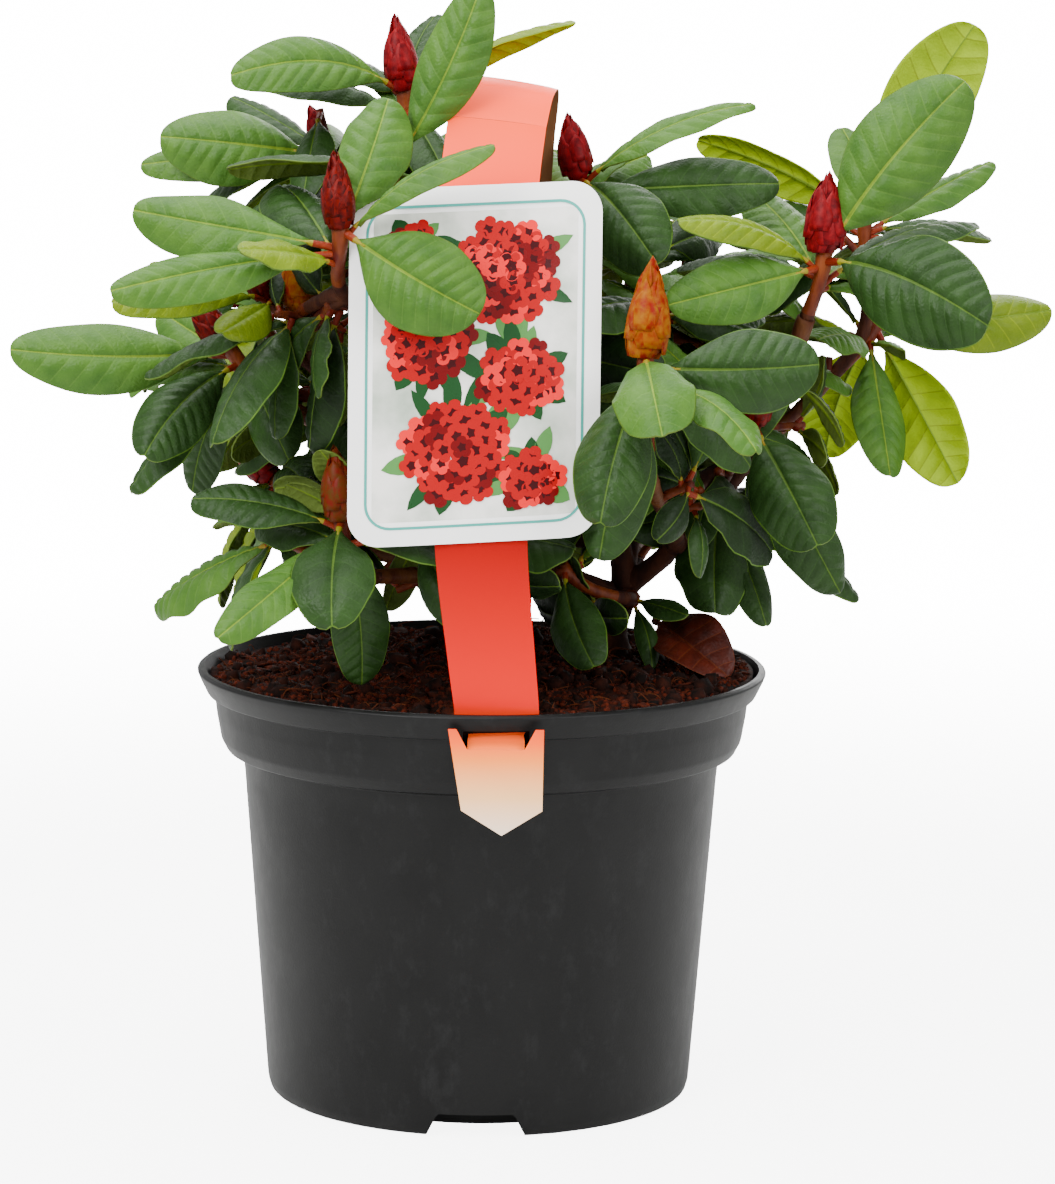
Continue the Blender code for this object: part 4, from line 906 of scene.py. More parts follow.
def makeLimbs():
    # One mesh of trunk and boughs. Each bough starts inside its parent, with a swelling at the joint.
    sheaf = Sheaf()
    base = Vector(trunkShape["foot"])
    trunk = smoothPath([base + Vector(p) for p in trunkShape["path"]], 10)
    steps = smoothPath([(r, 0, 0) for r in trunkShape["radii"]], 10)

    def buttress(distance, angle):
        low = max(0.0, 1 - distance / 14)
        lobes = low * 1.3 * max(0.0, math.cos(2.5 * angle + 1)) + low * 0.5 * math.cos(4 * angle)
        return lobes + barkRelief(7, 1.6)(distance, angle)

    points, faces = sweepTube(trunk, [row[0] for row in steps], 40, buttress)
    sheaf.add(points, faces, 0)
    ends = {}
    for index, (name, (_, thick, thin, line)) in enumerate(boughPlan.items()):
        path = smoothPath(line, 14)
        count = len(path)
        radii = [thick + (thin - thick) * i / (count - 1) for i in range(count)]
        run = 0.0
        for i in range(count):
            run += float(np.linalg.norm(path[i] - path[max(0, i - 1)]))
            radii[i] += barkShape["flare"] * thick * math.exp(-run / 5)
        points, faces = sweepTube(path, radii, 20, barkRelief(index * 1.7, 1.0))
        sheaf.add(points, faces, [1 if face[0] // 20 > count * 0.58 else 0 for face in faces])
        coarse = smoothPath(line, 2)
        ends[name] = (Vector(coarse[-1]), (Vector(coarse[-1]) - Vector(coarse[-2])).normalized())
    limbs = sheaf.build("barkLimbs", [barkMaterial("old bark", "#220c06", "#44200f", 5, 0.8),
                                    barkMaterial("last year's wood", "#3c1409", "#5a3413", 6, 0.6)])
    keep(limbs, "bark", "trunk", *boughPlan)
    return ends


boughEnds = makeLimbs()
print("trunk and boughs made")


# foliage. Each mass hangs on a bough and has shoots: at is the foot of the shoot's bud, lean is
# (turn, tilt from upright), bud is (length, width, kind), fill is how many leaves the rule adds and
# each leaf is (turn, rise, length, width, arch, facing, tone). Facing 1 turns the upper side to the
# front. A clear shoot gets no added leaf at its front.

def newShoot(at, lean, bud, fill, *leaves, clear=False):
    return {"at": at, "lean": lean, "bud": bud, "fill": fill, "leaves": leaves, "clear": clear}


foliagePlan = {
    "foliage_top": ("bough_top", [
        newShoot((-27, -12, 335), (180, 7), (24, 12, "red"), 3, (-160, 5, 58, 22, 0.16, 0.55, "mid"),
                 (130, 8, 52, 18, 0.05, 0.2, "dark"), (9, 23, 60, 18, 0.05, -0.3, "lit"),
                 (81, 28, 46, 20, 0.05, 0, "dark")),
        newShoot((-28, -66, 314), (60, 20), None, 2, (6, 50, 62, 21, 0.06, 0.8, "mid")),
        newShoot((-54, 10, 313), (160, 18), (16, 8, "red"), 4, (-175, 5, 54, 27, 0.08, 0.75, "mid"),
                 (136, 18, 48, 16, 0.05, 0.2, "dark"), (172, -6, 62, 17, 0.03, 0.5, "mid"),
                 (40, 30, 34, 16, 0.05, 0.3, "mid")),
        newShoot((-30, 16, 272), (140, 24), None, 6),
    ]),
    "foliage_left_upper": ("bough_left_upper", [
        newShoot((-44, -95, 296), (180, 4), (23, 10.5, "bright"), 1, (-14, -30, 52, 31, 0.12, 0.85, "mid"),
                 (61, 53, 48, 23, 0.08, 0.7, "mid"), (-8, 30, 54, 14, 0.08, 0.3, "mid"),
                 (168, 2, 66, 22, 0.08, 0.6, "mid"), (-173, -15, 74, 19, 0.06, 0.5, "mid"),
                 (160, -14, 66, 17, 0.03, 0.3, "young"), (-140, -8, 38, 15, 0.05, 0.5, "young")),
        newShoot((-57, -58, 265), (150, 12), (24, 12, "amber"), 5),
        newShoot((-69, -50, 270), (190, 35), (14, 9, "bright"), 2, (-155, 0, 52, 16, 0.1, 0.5, "young"),
                 (-119, -17, 32, 16, 0.06, 0.7, "young")),
    ]),
    "foliage_left": ("bough_left", [
        newShoot((-83, -30, 252), (185, 38), (20, 11, "bright"), 2, (-173, -1, 70, 24, 0.08, 0.75, "mid"),
                 (166, -9, 58, 18, 0.05, 0.6, "mid"), (133, 14, 36, 18, 0.05, 0.4, "mid"),
                 (-126, -38, 52, 23, 0.08, 0.8, "dark"), (122, -65, 56, 18, 0.04, 0.6, "dark"),
                 (-52, -44, 48, 19, 0.1, 0.7, "dark")),
        newShoot((-52, -12, 238), (180, 20), None, 7),
    ]),
    "foliage_left_low": ("bough_left_low", [
        newShoot((-44, -78, 203), (180, 5), (23, 12, "green"), 3, (-92, -43, 44, 27, 0.15, 0.9, "dark"),
                 (174, 5, 48, 18, 0.1, 0.4, "dark"), (-137, -34, 60, 17, 0.08, 0.6, "mid"),
                 (53, -70, 56, 19, 0.04, 0.7, "dark"), (142, -9, 36, 18, 0.08, 0.5, "dark")),
        newShoot((-66, -58, 196), (180, 55), None, 5),
    ]),
    "foliage_front_low": ("bough_front_low", [
        newShoot((-22, -60, 198), (200, 20), None, 5, (-42, -48, 42, 17, 0.05, 0.7, "dark")),
    ]),
    "foliage_centre_top": ("bough_centre", [
        newShoot((30, -14, 307), (180, 10), (21, 12, "red"), 3, (-55, -30, 50, 26, 0.15, 0.85, "dark"),
                 (0, 22, 62, 15, 0.12, 0.35, "mid"), (4, -2, 66, 22, 0.12, 0.7, "dark"),
                 (49, 7, 36, 16, 0.05, 0.5, "mid"), (100, 5, 50, 20, 0.08, 0.2, "mid")),
    ]),
    "foliage_centre_right": ("bough_centre_right", [
        newShoot((51, -88, 256), (0, 3), (31, 14.5, "amber"), 2, (-84, -26, 46, 26, 0.15, 0.95, "mid"),
                 (0, -2, 54, 27, 0.08, 0.8, "dark"), (-117, -58, 58, 24, 0.1, 0.85, "dark"),
                 (15, -45, 50, 19, 0.05, 0.6, "dark"), (170, -78, 66, 24, 0.0, 0.8, "dark")),
    ]),
    "foliage_right": ("bough_right", [
        newShoot((110, -22, 284), (0, 2), (26, 14.5, "red"), 4, (4, 51, 71, 32, 0.12, 0.85, "mid"),
                 (-39, -17, 66, 35, 0.12, 0.8, "dark"), (-156, -16, 58, 23, 0.1, 0.75, "mid"),
                 (-154, 13, 54, 15, 0.1, 0.4, "young"), (122, 23, 46, 20, 0.05, 0.4, "mid"), clear=True),
    ]),
    "foliage_right_back": ("bough_right_back", [
        newShoot((134, 50, 255), (30, 30), (16, 9, "red"), 3, (20, 2, 66, 22, 0.05, 0.7, "young"),
                 (-50, -52, 66, 26, 0.05, -0.8, "lit"), (120, -58, 58, 26, 0.02, -0.8, "lit"),
                 (-87, -65, 62, 20, 0.05, 0.7, "mid")),
        newShoot((128, 40, 293), (60, 12), (18, 10, "red"), 3, (0, 61, 72, 30, 0.05, -0.85, "lit"),
                 (153, 20, 66, 18, 0.1, -0.55, "lit"), (112, 43, 40, 18, 0.05, 0.4, "mid"),
                 (35, 14, 58, 16, 0.05, 0.4, "mid")),
    ]),
    "foliage_right_low": ("bough_right_low", [
        newShoot((88, -30, 229), (-60, 25), (17, 10, "bright"), 3, (-57, -45, 50, 27, 0.08, 0.85, "dark"),
                 (20, -61, 66, 22, 0.05, 0.7, "dark"), (46, -28, 32, 14, 0.05, 0.5, "dark")),
    ]),
    "foliage_low_right": ("bough_low_right", [
        newShoot((80, 14, 198), (10, 25), None, 3, (-105, -49, 46, 25, 0.1, 0.9, "dark"),
                 (-59, -49, 48, 16, 0.05, 0.6, "dark"), (-150, -20, 36, 16, 0.05, 0.6, "dark")),
    ]),
    "foliage_foot": ("bough_foot", [
        newShoot((50, -6, 168), (-60, 30), None, 0, (-34, -13, 22, 10, 0.05, 0.4, "dark"),
                 (-60, -60, 26, 8, 0.05, 0.4, "dark")),
        newShoot((26, -24, 180), (200, 40), None, 3, (-70, -42, 42, 18, 0.05, 0.8, "dark")),
    ]),
    "foliage_heart": ("bough_heart", [
        newShoot((50, 32, 276), (40, 10), (20, 11, "red"), 8),
        newShoot((84, 26, 250), (15, 25), None, 6),
        newShoot((58, -10, 264), (-50, 15), None, 6),
    ]),
    "foliage_back_left": ("bough_back_left", [
        newShoot((-84, 62, 258), (160, 35), (20, 11, "red"), 8),
        newShoot((-60, 98, 226), (120, 50), (22, 12, "red"), 8),
        newShoot((-44, 60, 292), (130, 18), (22, 12, "red"), 8),
    ]),
    "foliage_back_centre": ("bough_back_centre", [
        newShoot((-6, 98, 268), (110, 15), (22, 12, "red"), 8),
        newShoot((16, 120, 232), (85, 55), (20, 11, "red"), 8),
    ]),
    "foliage_back_right": ("bough_back", [
        newShoot((72, 82, 284), (60, 14), (23, 12, "red"), 8),
        newShoot((98, 92, 240), (45, 45), (20, 11, "red"), 8),
    ]),
    "foliage_low_back": ("bough_low_back", [
        newShoot((56, 104, 184), (80, 62), (18, 10, "red"), 7),
    ]),
    "foliage_low_left_back": ("bough_low_left_back", [
        newShoot((-74, 68, 196), (150, 58), (20, 11, "red"), 8),
    ]),
}
foliageRule = {"fillLength": (46.0, 62.0), "fillShape": (0.36, 0.42), "fillRise": (-12.0, 26.0), "tries": 14,
               "whorlDepth": 13.0, "rootOffset": 0.9, "gap": 0.3, "seed": 11,
               "nudges": ((0, 0), (5, 0), (-5, 0), (0, 5), (0, -5), (9, 0), (-9, 0), (0, 9), (0, -9),
                          (7, 7), (-7, 7), (-7, -7), (14, 0), (-14, 0), (0, 14)),
               "crown": (19, 0, 240), "reach": (174, 158, 121), "lowest": 153.0,
               "stations": ((0.0, 0.0), (0.16, 0.28), (0.38, 0.95), (0.70, 0.95), (0.92, 0.52)),
               "coarseThick": 1.3, "coarseDroop": 0.10, "petiole": 2.2,
               "smallest": 20.0, "smaller": 38.0, "extras": 3,
               "inner": (8, 12, 236), "innerReach": (122, 124, 84), "sideStep": (9.0, 15.0),
               "sideLength": (9.0, 19.0), "sideLeaf": (28.0, 50.0), "sideMost": 4, "sideTries": 8}
Leaf = namedtuple("Leaf", "root tip upper width arch tone")


def shootAxis(shoot):
    return heading(shoot["lean"][0], 90 - shoot["lean"][1])


def coarseLeaf(leaf, grow, first=0):
    # A plain stand-in for a leaf, to test that leaves keep clear of each other.
    along = leaf.tip - leaf.root
    length = along.length
    ahead = along / length
    side = ahead.cross(leaf.upper).normalized()
    up = side.cross(ahead)
    points = []
    for share, spread in foliageRule["stations"]:
        middle = leaf.root + along * share + up * leaf.arch * length * 4 * share * (1 - share)
        half = max(foliageRule["petiole"], spread * leaf.width) / 2
        sag = up * foliageRule["coarseDroop"] * max(0, 2 * half - foliageRule["petiole"])
        across, ridge = side * (half + grow), up * (foliageRule["coarseThick"] / 2 + grow)
        points += [middle - across - sag - ridge, middle + ridge, middle + across - sag - ridge]
    points.append(leaf.tip + ahead * grow)
    faces = [(3 * i + j, 3 * i + (j + 1) % 3, 3 * i + 3 + (j + 1) % 3, 3 * i + 3 + j) for i in range(4)
             for j in range(3)]
    faces += [(12, 13, 15), (13, 14, 15), (14, 12, 15), (2, 1, 0)]
    faces = [face for face in faces if min(face) >= 3 * first]
    return treeOf(points, faces)


def nodeTree(name):
    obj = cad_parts[name]
    points = [obj.matrix_world @ v.co for v in obj.data.vertices]
    return BVHTree.FromPolygons(points, [tuple(p.vertices) for p in obj.data.polygons])


def downPath(path, distance):
    for a, b in zip(path[::-1], path[-2::-1]):
        span = (a - b).length
        if distance <= span:
            break
        distance -= span
    return a + (b - a) * min(1.0, distance / span)


def placeLeaf(shoot, stem, turn, rise, length, width, arch, facing, tone, rank):
    axis = shootAxis(shoot)
    tip = Vector(shoot["at"]) + heading(turn, rise) * length
    root = downPath(stem, 1.5 + foliageRule["whorlDepth"] * rank)
    outward = tip - root
    root = root + (outward - axis * outward.dot(axis)).normalized() * foliageRule["rootOffset"]
    ahead = (tip - root).normalized()
    upper = axis - ahead * axis.dot(ahead)
    upper.normalize()
    front = Vector((0, -1, 0))
    front -= ahead * front.dot(ahead)
    upper = upper * (1 - abs(facing)) + front * facing
    return Leaf(root, tip, upper.normalized(), width, arch, tone)


def freeTurns(shoot, leaves):
    # The gaps round a shoot between its leaves, widest first.
    axis = shootAxis(shoot)
    ahead = axis.orthogonal().normalized()
    beside = axis.cross(ahead)
    ways = [leaf.tip - leaf.root for leaf in leaves]
    used = sorted(math.atan2(way.dot(beside), way.dot(ahead)) for way in ways)
    if not used:
        return [(0.0, math.tau)], axis, ahead, beside
    gaps = [(a, (b - a) % math.tau or math.tau) for a, b in zip(used, used[1:] + used[:1])]
    return sorted(gaps, key=lambda gap: -gap[1]), axis, ahead, beside


def fillLeaf(shoot, leaves, rank, rng):
    gaps, axis, ahead, beside = freeTurns(shoot, leaves)
    start, width = gaps[min(rng.randrange(3), len(gaps) - 1)]
    around = start + width * rng.uniform(0.38, 0.62)
    up = math.radians(rng.uniform(*foliageRule["fillRise"]) - 14 * rank)
    out = (ahead * math.cos(around) + beside * math.sin(around)) * math.cos(up) + axis * math.sin(up)
    turn = math.degrees(math.atan2(out.y, out.x))
    # Leaves that come towards the front hang below the bud.
    rise = math.degrees(math.asin(max(-1, min(1, out.z)))) - 42 * max(0.0, -out.y)
    length = rng.uniform(*foliageRule["fillLength"])
    width = length * rng.uniform(*foliageRule["fillShape"])
    return turn, rise, length, width, rng.uniform(0.04, 0.14), rng.uniform(0, 0.15)


def insideCrown(point, middle=foliageRule["crown"], reach=foliageRule["reach"]):
    away = sum(((point[i] - middle[i]) / reach[i]) ** 2 for i in range(3))
    return point.z > foliageRule["lowest"] and away < 1


def beforeCard(point):
    across, up = point.x - cardShape["middle"][0], point.z - cardShape["middle"][1]
    wide, high = cardShape["width"] / 2 + 8, cardShape["height"] / 2 + 8
    return point.y < strapShape["front"][-2][1] and abs(across) < wide and abs(up) < high


def shootPaths():
    # Shoots branch from the stem that goes on from each bough's tip.
    stems = {}
    for mass, (bough, shoots) in foliagePlan.items():
        end, ahead = boughEnds[bough]
        start, leader, stems[mass] = end + ahead * foliageRule["gap"], None, []
        for shoot in shoots:
            axis, at = shootAxis(shoot), Vector(shoot["at"])
            origin, onward = start, ahead
            if leader:
                origin, onward = leader[1], (leader[2] - leader[0]).normalized()
            pull = (at - origin).length * 0.45
            curve = (origin, origin + onward * pull, at - axis * pull, at)
            path = bezier(*curve, 3)
            path.insert(1, origin + onward * min(1.5, pull * 0.2))
            leader = leader or path
            stems[mass].append((path, curve))
    return stems


def growLeaves(stems):
    # The listed leaves first, nudged clear of their neighbours, then those that fill the whorls,
    # then small young leaves in what room is left.
    masses = set(foliagePlan)
    fixed = [nodeTree(name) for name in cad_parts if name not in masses]
    stemTrees, sideTwigs = [], []

    def addStem(mass, line, radii):
        middle = (Vector(line[0]) + Vector(line[-1])) / 2
        reach = max((Vector(p) - middle).length for p in line)
        stemTrees.append((mass, treeOf(*sweepTube(line, radii, 6)), middle, reach))

    for mass, paths in stems.items():
        for shoot, (path, _) in zip(foliagePlan[mass][1], paths):
            addStem(mass, path, [2.6] * len(path))
            if shoot["bud"]:
                axis = shootAxis(shoot)
                length, width = shoot["bud"][:2]
                swell = ((-1.5, 0.45), (length * 0.28, 1), (length * 0.62, 0.72), (length, 0.08))
                line = [Vector(shoot["at"]) + axis * along for along, _ in swell]
                addStem(mass, line, [width / 2 * share + 0.3 for _, share in swell])
    grown, kept = [], []

    def tryLeaf(mass, shoot, leaf):
        gap = foliageRule["gap"]
        whole, blade = coarseLeaf(leaf, gap * 1.5), coarseLeaf(leaf, gap, 1)
        middle, reach = (leaf.root + leaf.tip) / 2, (leaf.tip - leaf.root).length / 2
        blocked = fixed + [tree for name, tree, spot, size in stemTrees
                           if name != mass and (spot - middle).length < reach + size + 6]
        if any(whole.overlap(tree) for tree in blocked):
            return False
        for name, _, other, tree, bladeTree in grown:
            apart = ((other.root + other.tip) / 2 - middle).length
            if apart < reach + (other.tip - other.root).length / 2 + 8:
                if (blade.overlap(bladeTree) if name == mass else whole.overlap(tree)):
                    return False
        grown.append((mass, id(shoot), leaf, coarseLeaf(leaf, 0), coarseLeaf(leaf, 0, 1)))
        return True

    for mass, (_, shoots) in foliagePlan.items():
        for index, shoot in enumerate(shoots):
            for number, (turn, rise, *shape) in enumerate(shoot["leaves"]):
                stem = stems[mass][index][0]
                tries = (placeLeaf(shoot, stem, turn + a, rise + b, *shape, number / 7)
                         for a, b in foliageRule["nudges"])
                any(tryLeaf(mass, shoot, leaf) for leaf in tries)
    for wave in ("fill", "extra"):
        for mass, (_, shoots) in foliagePlan.items():
            for index, shoot in enumerate(shoots):
                extra = wave == "extra"
                wanted = shoot["fill"]
                if extra:
                    wanted = foliageRule["extras"] if shoot["at"][1] > -15 else 0
                for number in range(wanted):
                    rng = random.Random(f"{foliageRule['seed']} {mass} {index} {number}" + " young" * extra)
                    rank = min(1.0, (len(shoot["leaves"]) + number) / 9)
                    for attempt in range(foliageRule["tries"]):
                        mine = [entry[2] for entry in grown if entry[1] == id(shoot)]
                        turn, rise, length, *shape = fillLeaf(shoot, mine, rank, rng)
                        if shoot["clear"] and -165 < turn < -15:
                            continue
                        if extra:
                            small = rng.uniform(foliageRule["smallest"], foliageRule["smaller"])
                            shape[0] *= small / length
                            length = small
                        length *= 1 - 0.03 * attempt
                        # Only shoots at the back may take the young tone: yellow-green of young growth, and
                        # there also painted backlight.
                        tone = random.Random(f"{mass} {index} {number} {wave}").choice(
                            ("dark", "dark", "mid", "mid", "young" if shoot["at"][1] > 20 else "dark"))
                        leaf = placeLeaf(shoot, stems[mass][index][0], turn, rise, length, *shape, tone, rank)
                        if insideCrown(leaf.tip) and not beforeCard(leaf.tip) and tryLeaf(mass, shoot, leaf):
                            break
    # Finer twigs further back on the stems and boughs fill the crown's inside.
    for mass, (bough, _) in foliagePlan.items():
        lines = [[Vector(p) for p in smoothPath(boughPlan[bough][3], 8)]] + [path for path, _ in stems[mass]]
        for index, line in enumerate(lines):
            rng = random.Random(f"side {mass} {index}")
            total = sum((b - a).length for a, b in zip(line, line[1:]))
            distance = 5.0
            while distance < total * 0.72:
                spot = downPath(line, distance)
                onward = (downPath(line, distance - 1) - spot).normalized()
                distance += rng.uniform(*foliageRule["sideStep"])
                side = onward.cross(Vector([rng.uniform(-1, 1) for _ in range(3)])).normalized()
                out = (spot - Vector(foliageRule["inner"])).normalized()
                way = (side + out * 0.6 + onward * 0.5 + Vector((0, 0, rng.uniform(-0.4, 0.5)))).normalized()
                at = spot + way * rng.uniform(*foliageRule["sideLength"])
                knee = spot + way * 4 + onward * 1.5
                probe = treeOf(*sweepTube([spot + way * 5.5, at], [1.6, 1.6], 5))
                if at.z < foliageRule["lowest"] + 8 or any(probe.overlap(tree) for tree in fixed):
                    continue
                if any(probe.overlap(entry[3]) for entry in grown if (entry[2].root - at).length < 90):
                    continue
                turn = math.degrees(math.atan2(way.y, way.x))
                shoot = newShoot(tuple(at), (turn, 90 - math.degrees(math.asin(way.z))), None, 0)
                stem = [spot, at]
                for number in range(foliageRule["sideMost"]):
                    for attempt in range(foliageRule["sideTries"]):
                        mine = [entry[2] for entry in grown if entry[1] == id(shoot)]
                        turn, rise, length, *shape = fillLeaf(shoot, mine, 0.1 * number, rng)
                        small = rng.uniform(*foliageRule["sideLeaf"]) * (1 - 0.03 * attempt)
                        shape[0] *= 1.16 * small / length
                        # Leaves on these inner twigs take the old tone: older and darker, and also painted
                        # darker as the shade inside the crown.
                        tone = rng.choice(("old", "old", "dark"))
                        leaf = placeLeaf(shoot, stem, turn, rise, small, *shape, tone, 0.1 * number)
                        inside = insideCrown(leaf.tip, foliageRule["inner"], foliageRule["innerReach"])
                        if inside and not beforeCard(leaf.tip) and tryLeaf(mass, shoot, leaf):
                            break
                if any(entry[1] == id(shoot) for entry in grown):
                    sideTwigs.append((mass, [tuple(spot), tuple(knee), tuple(at)]))
                    addStem(mass, [knee, at], [1.7, 1.7])
                    kept.append(shoot)
    return [(mass, leaf) for mass, _, leaf, _, _ in grown], sideTwigs


# A leaf's fine mesh. Its rows run out along the side veins, so each vein is a row of faces.

bladeShape = {"petiole": 0.13, "veinPairs": 9, "slant": 0.15, "veinHalf": 0.0045, "thick": 0.5,
              "across": (0.19, 0.37, 0.55, 0.73, 0.90, 0.975, 1.0), "midrib": 0.018, "quilt": (0.015, 0.028),
              "groove": 0.10, "rib": 0.3, "shoulder": 0.05, "droop": (0.07, 0.27), "ripple": (0.010, 0.060),
              "twist": 26.0, "bend": 0.055, "skew": (1.0, 1.24), "hook": (-0.07, 0.08), "fineFrom": 47.0,
              "acrossSmall": (0.3, 0.62, 0.88, 0.97, 1.0)}
# The lit tone is painted backlight: the young skin on top and a bright yellow-green underside stand in for
# light shining through the leaf.
leafSlots = {"dark": (0, 1), "mid": (2, 3), "young": (4, 5), "lit": (4, 5), "dead": (0, 1), "old": (12, 13)}


def leafTissue(name, colour, other, roughness, sheen):
    # A leathery evergreen leaf: a thin waxy skin with a broad soft sheen over deep green, its surface
    # finely netted and a little uneven.
    material, tree, shader = startMaterial(name, colour, roughness, {"Specular IOR Level": sheen, "IOR": 1.42})
    scaled, _, _ = mixByNoise(tree, shader, colour, other, 9, 4, 0.3, 0.7)
    cells = addNode(tree, "ShaderNodeTexVoronoi", {"Scale": 620.0, "feature": "DISTANCE_TO_EDGE"},
                    {"Vector": scaled})
    uneven = addNode(tree, "ShaderNodeTexNoise", {"Scale": 150.0, "Detail": 3.0}, {"Vector": scaled})
    both = addNode(tree, "ShaderNodeMath", {"operation": "MULTIPLY_ADD", 1: 3.0},
                   {0: uneven.outputs["Fac"], 2: cells.outputs["Distance"]})
    addBump(tree, shader, both.outputs[0], 0.4, 0.0005)
    return material


# Name, two colours, roughness and sheen of each slot.
leafLooks = (
    ("leaf skin, dark", "#1a2f10", "#263f18", 0.43, 0.17),
    ("side vein, dark", "#223916", "#2b451d", 0.48, 0.15),
    ("leaf skin, mid", "#33551b", "#456823", 0.43, 0.17),
    ("side vein, mid", "#3f6022", "#4c6e2a", 0.48, 0.15),
    ("leaf skin, young", "#546a06", "#66790e", 0.43, 0.16),
    ("side vein, young", "#6a7c0c", "#788a14", 0.5, 0.12),
    ("leaf underside", "#4c5e22", "#5c6e2c", 0.62, 0.15),
    # The lit underside is the leaf underside painted brighter and yellower, a painted backlight glow.
    ("leaf underside, lit", "#7c9606", "#8ea80e", 0.6, 0.1),
    ("midrib", "#5c761c", "#708826", 0.5, 0.15),
    ("leaf margin", "#3c581a", "#4c6a22", 0.5, 0.15),
    ("red petiole", "#5c1006", "#7c2c10", 0.42, 0.2),
    ("pale petiole", "#6c7816", "#846a18", 0.45, 0.2),
    # The old skin and vein are the darker green of older leaves, painted darker again as the shade inside the
    # crown.
    ("leaf skin, old, painted shade", "#12200c", "#1a2c12", 0.45, 0.15),
    ("side vein, old, painted shade", "#182a12", "#203416", 0.5, 0.14),
    ("midrib, dark", "#3a521a", "#4a6420", 0.5, 0.15),
)
underside, undersideLit, paleMidrib, margin, redStalk, paleStalk, darkMidrib = 6, 7, 8, 9, 10, 11, 14


def bladeWidth(a, form):
    # The outline's half width at a share of the blade, 1 at the widest.
    return math.sin(math.pi * a ** form["skew"]) ** (0.76 - 0.34 * a) if 0 < a < 1 else 0.0


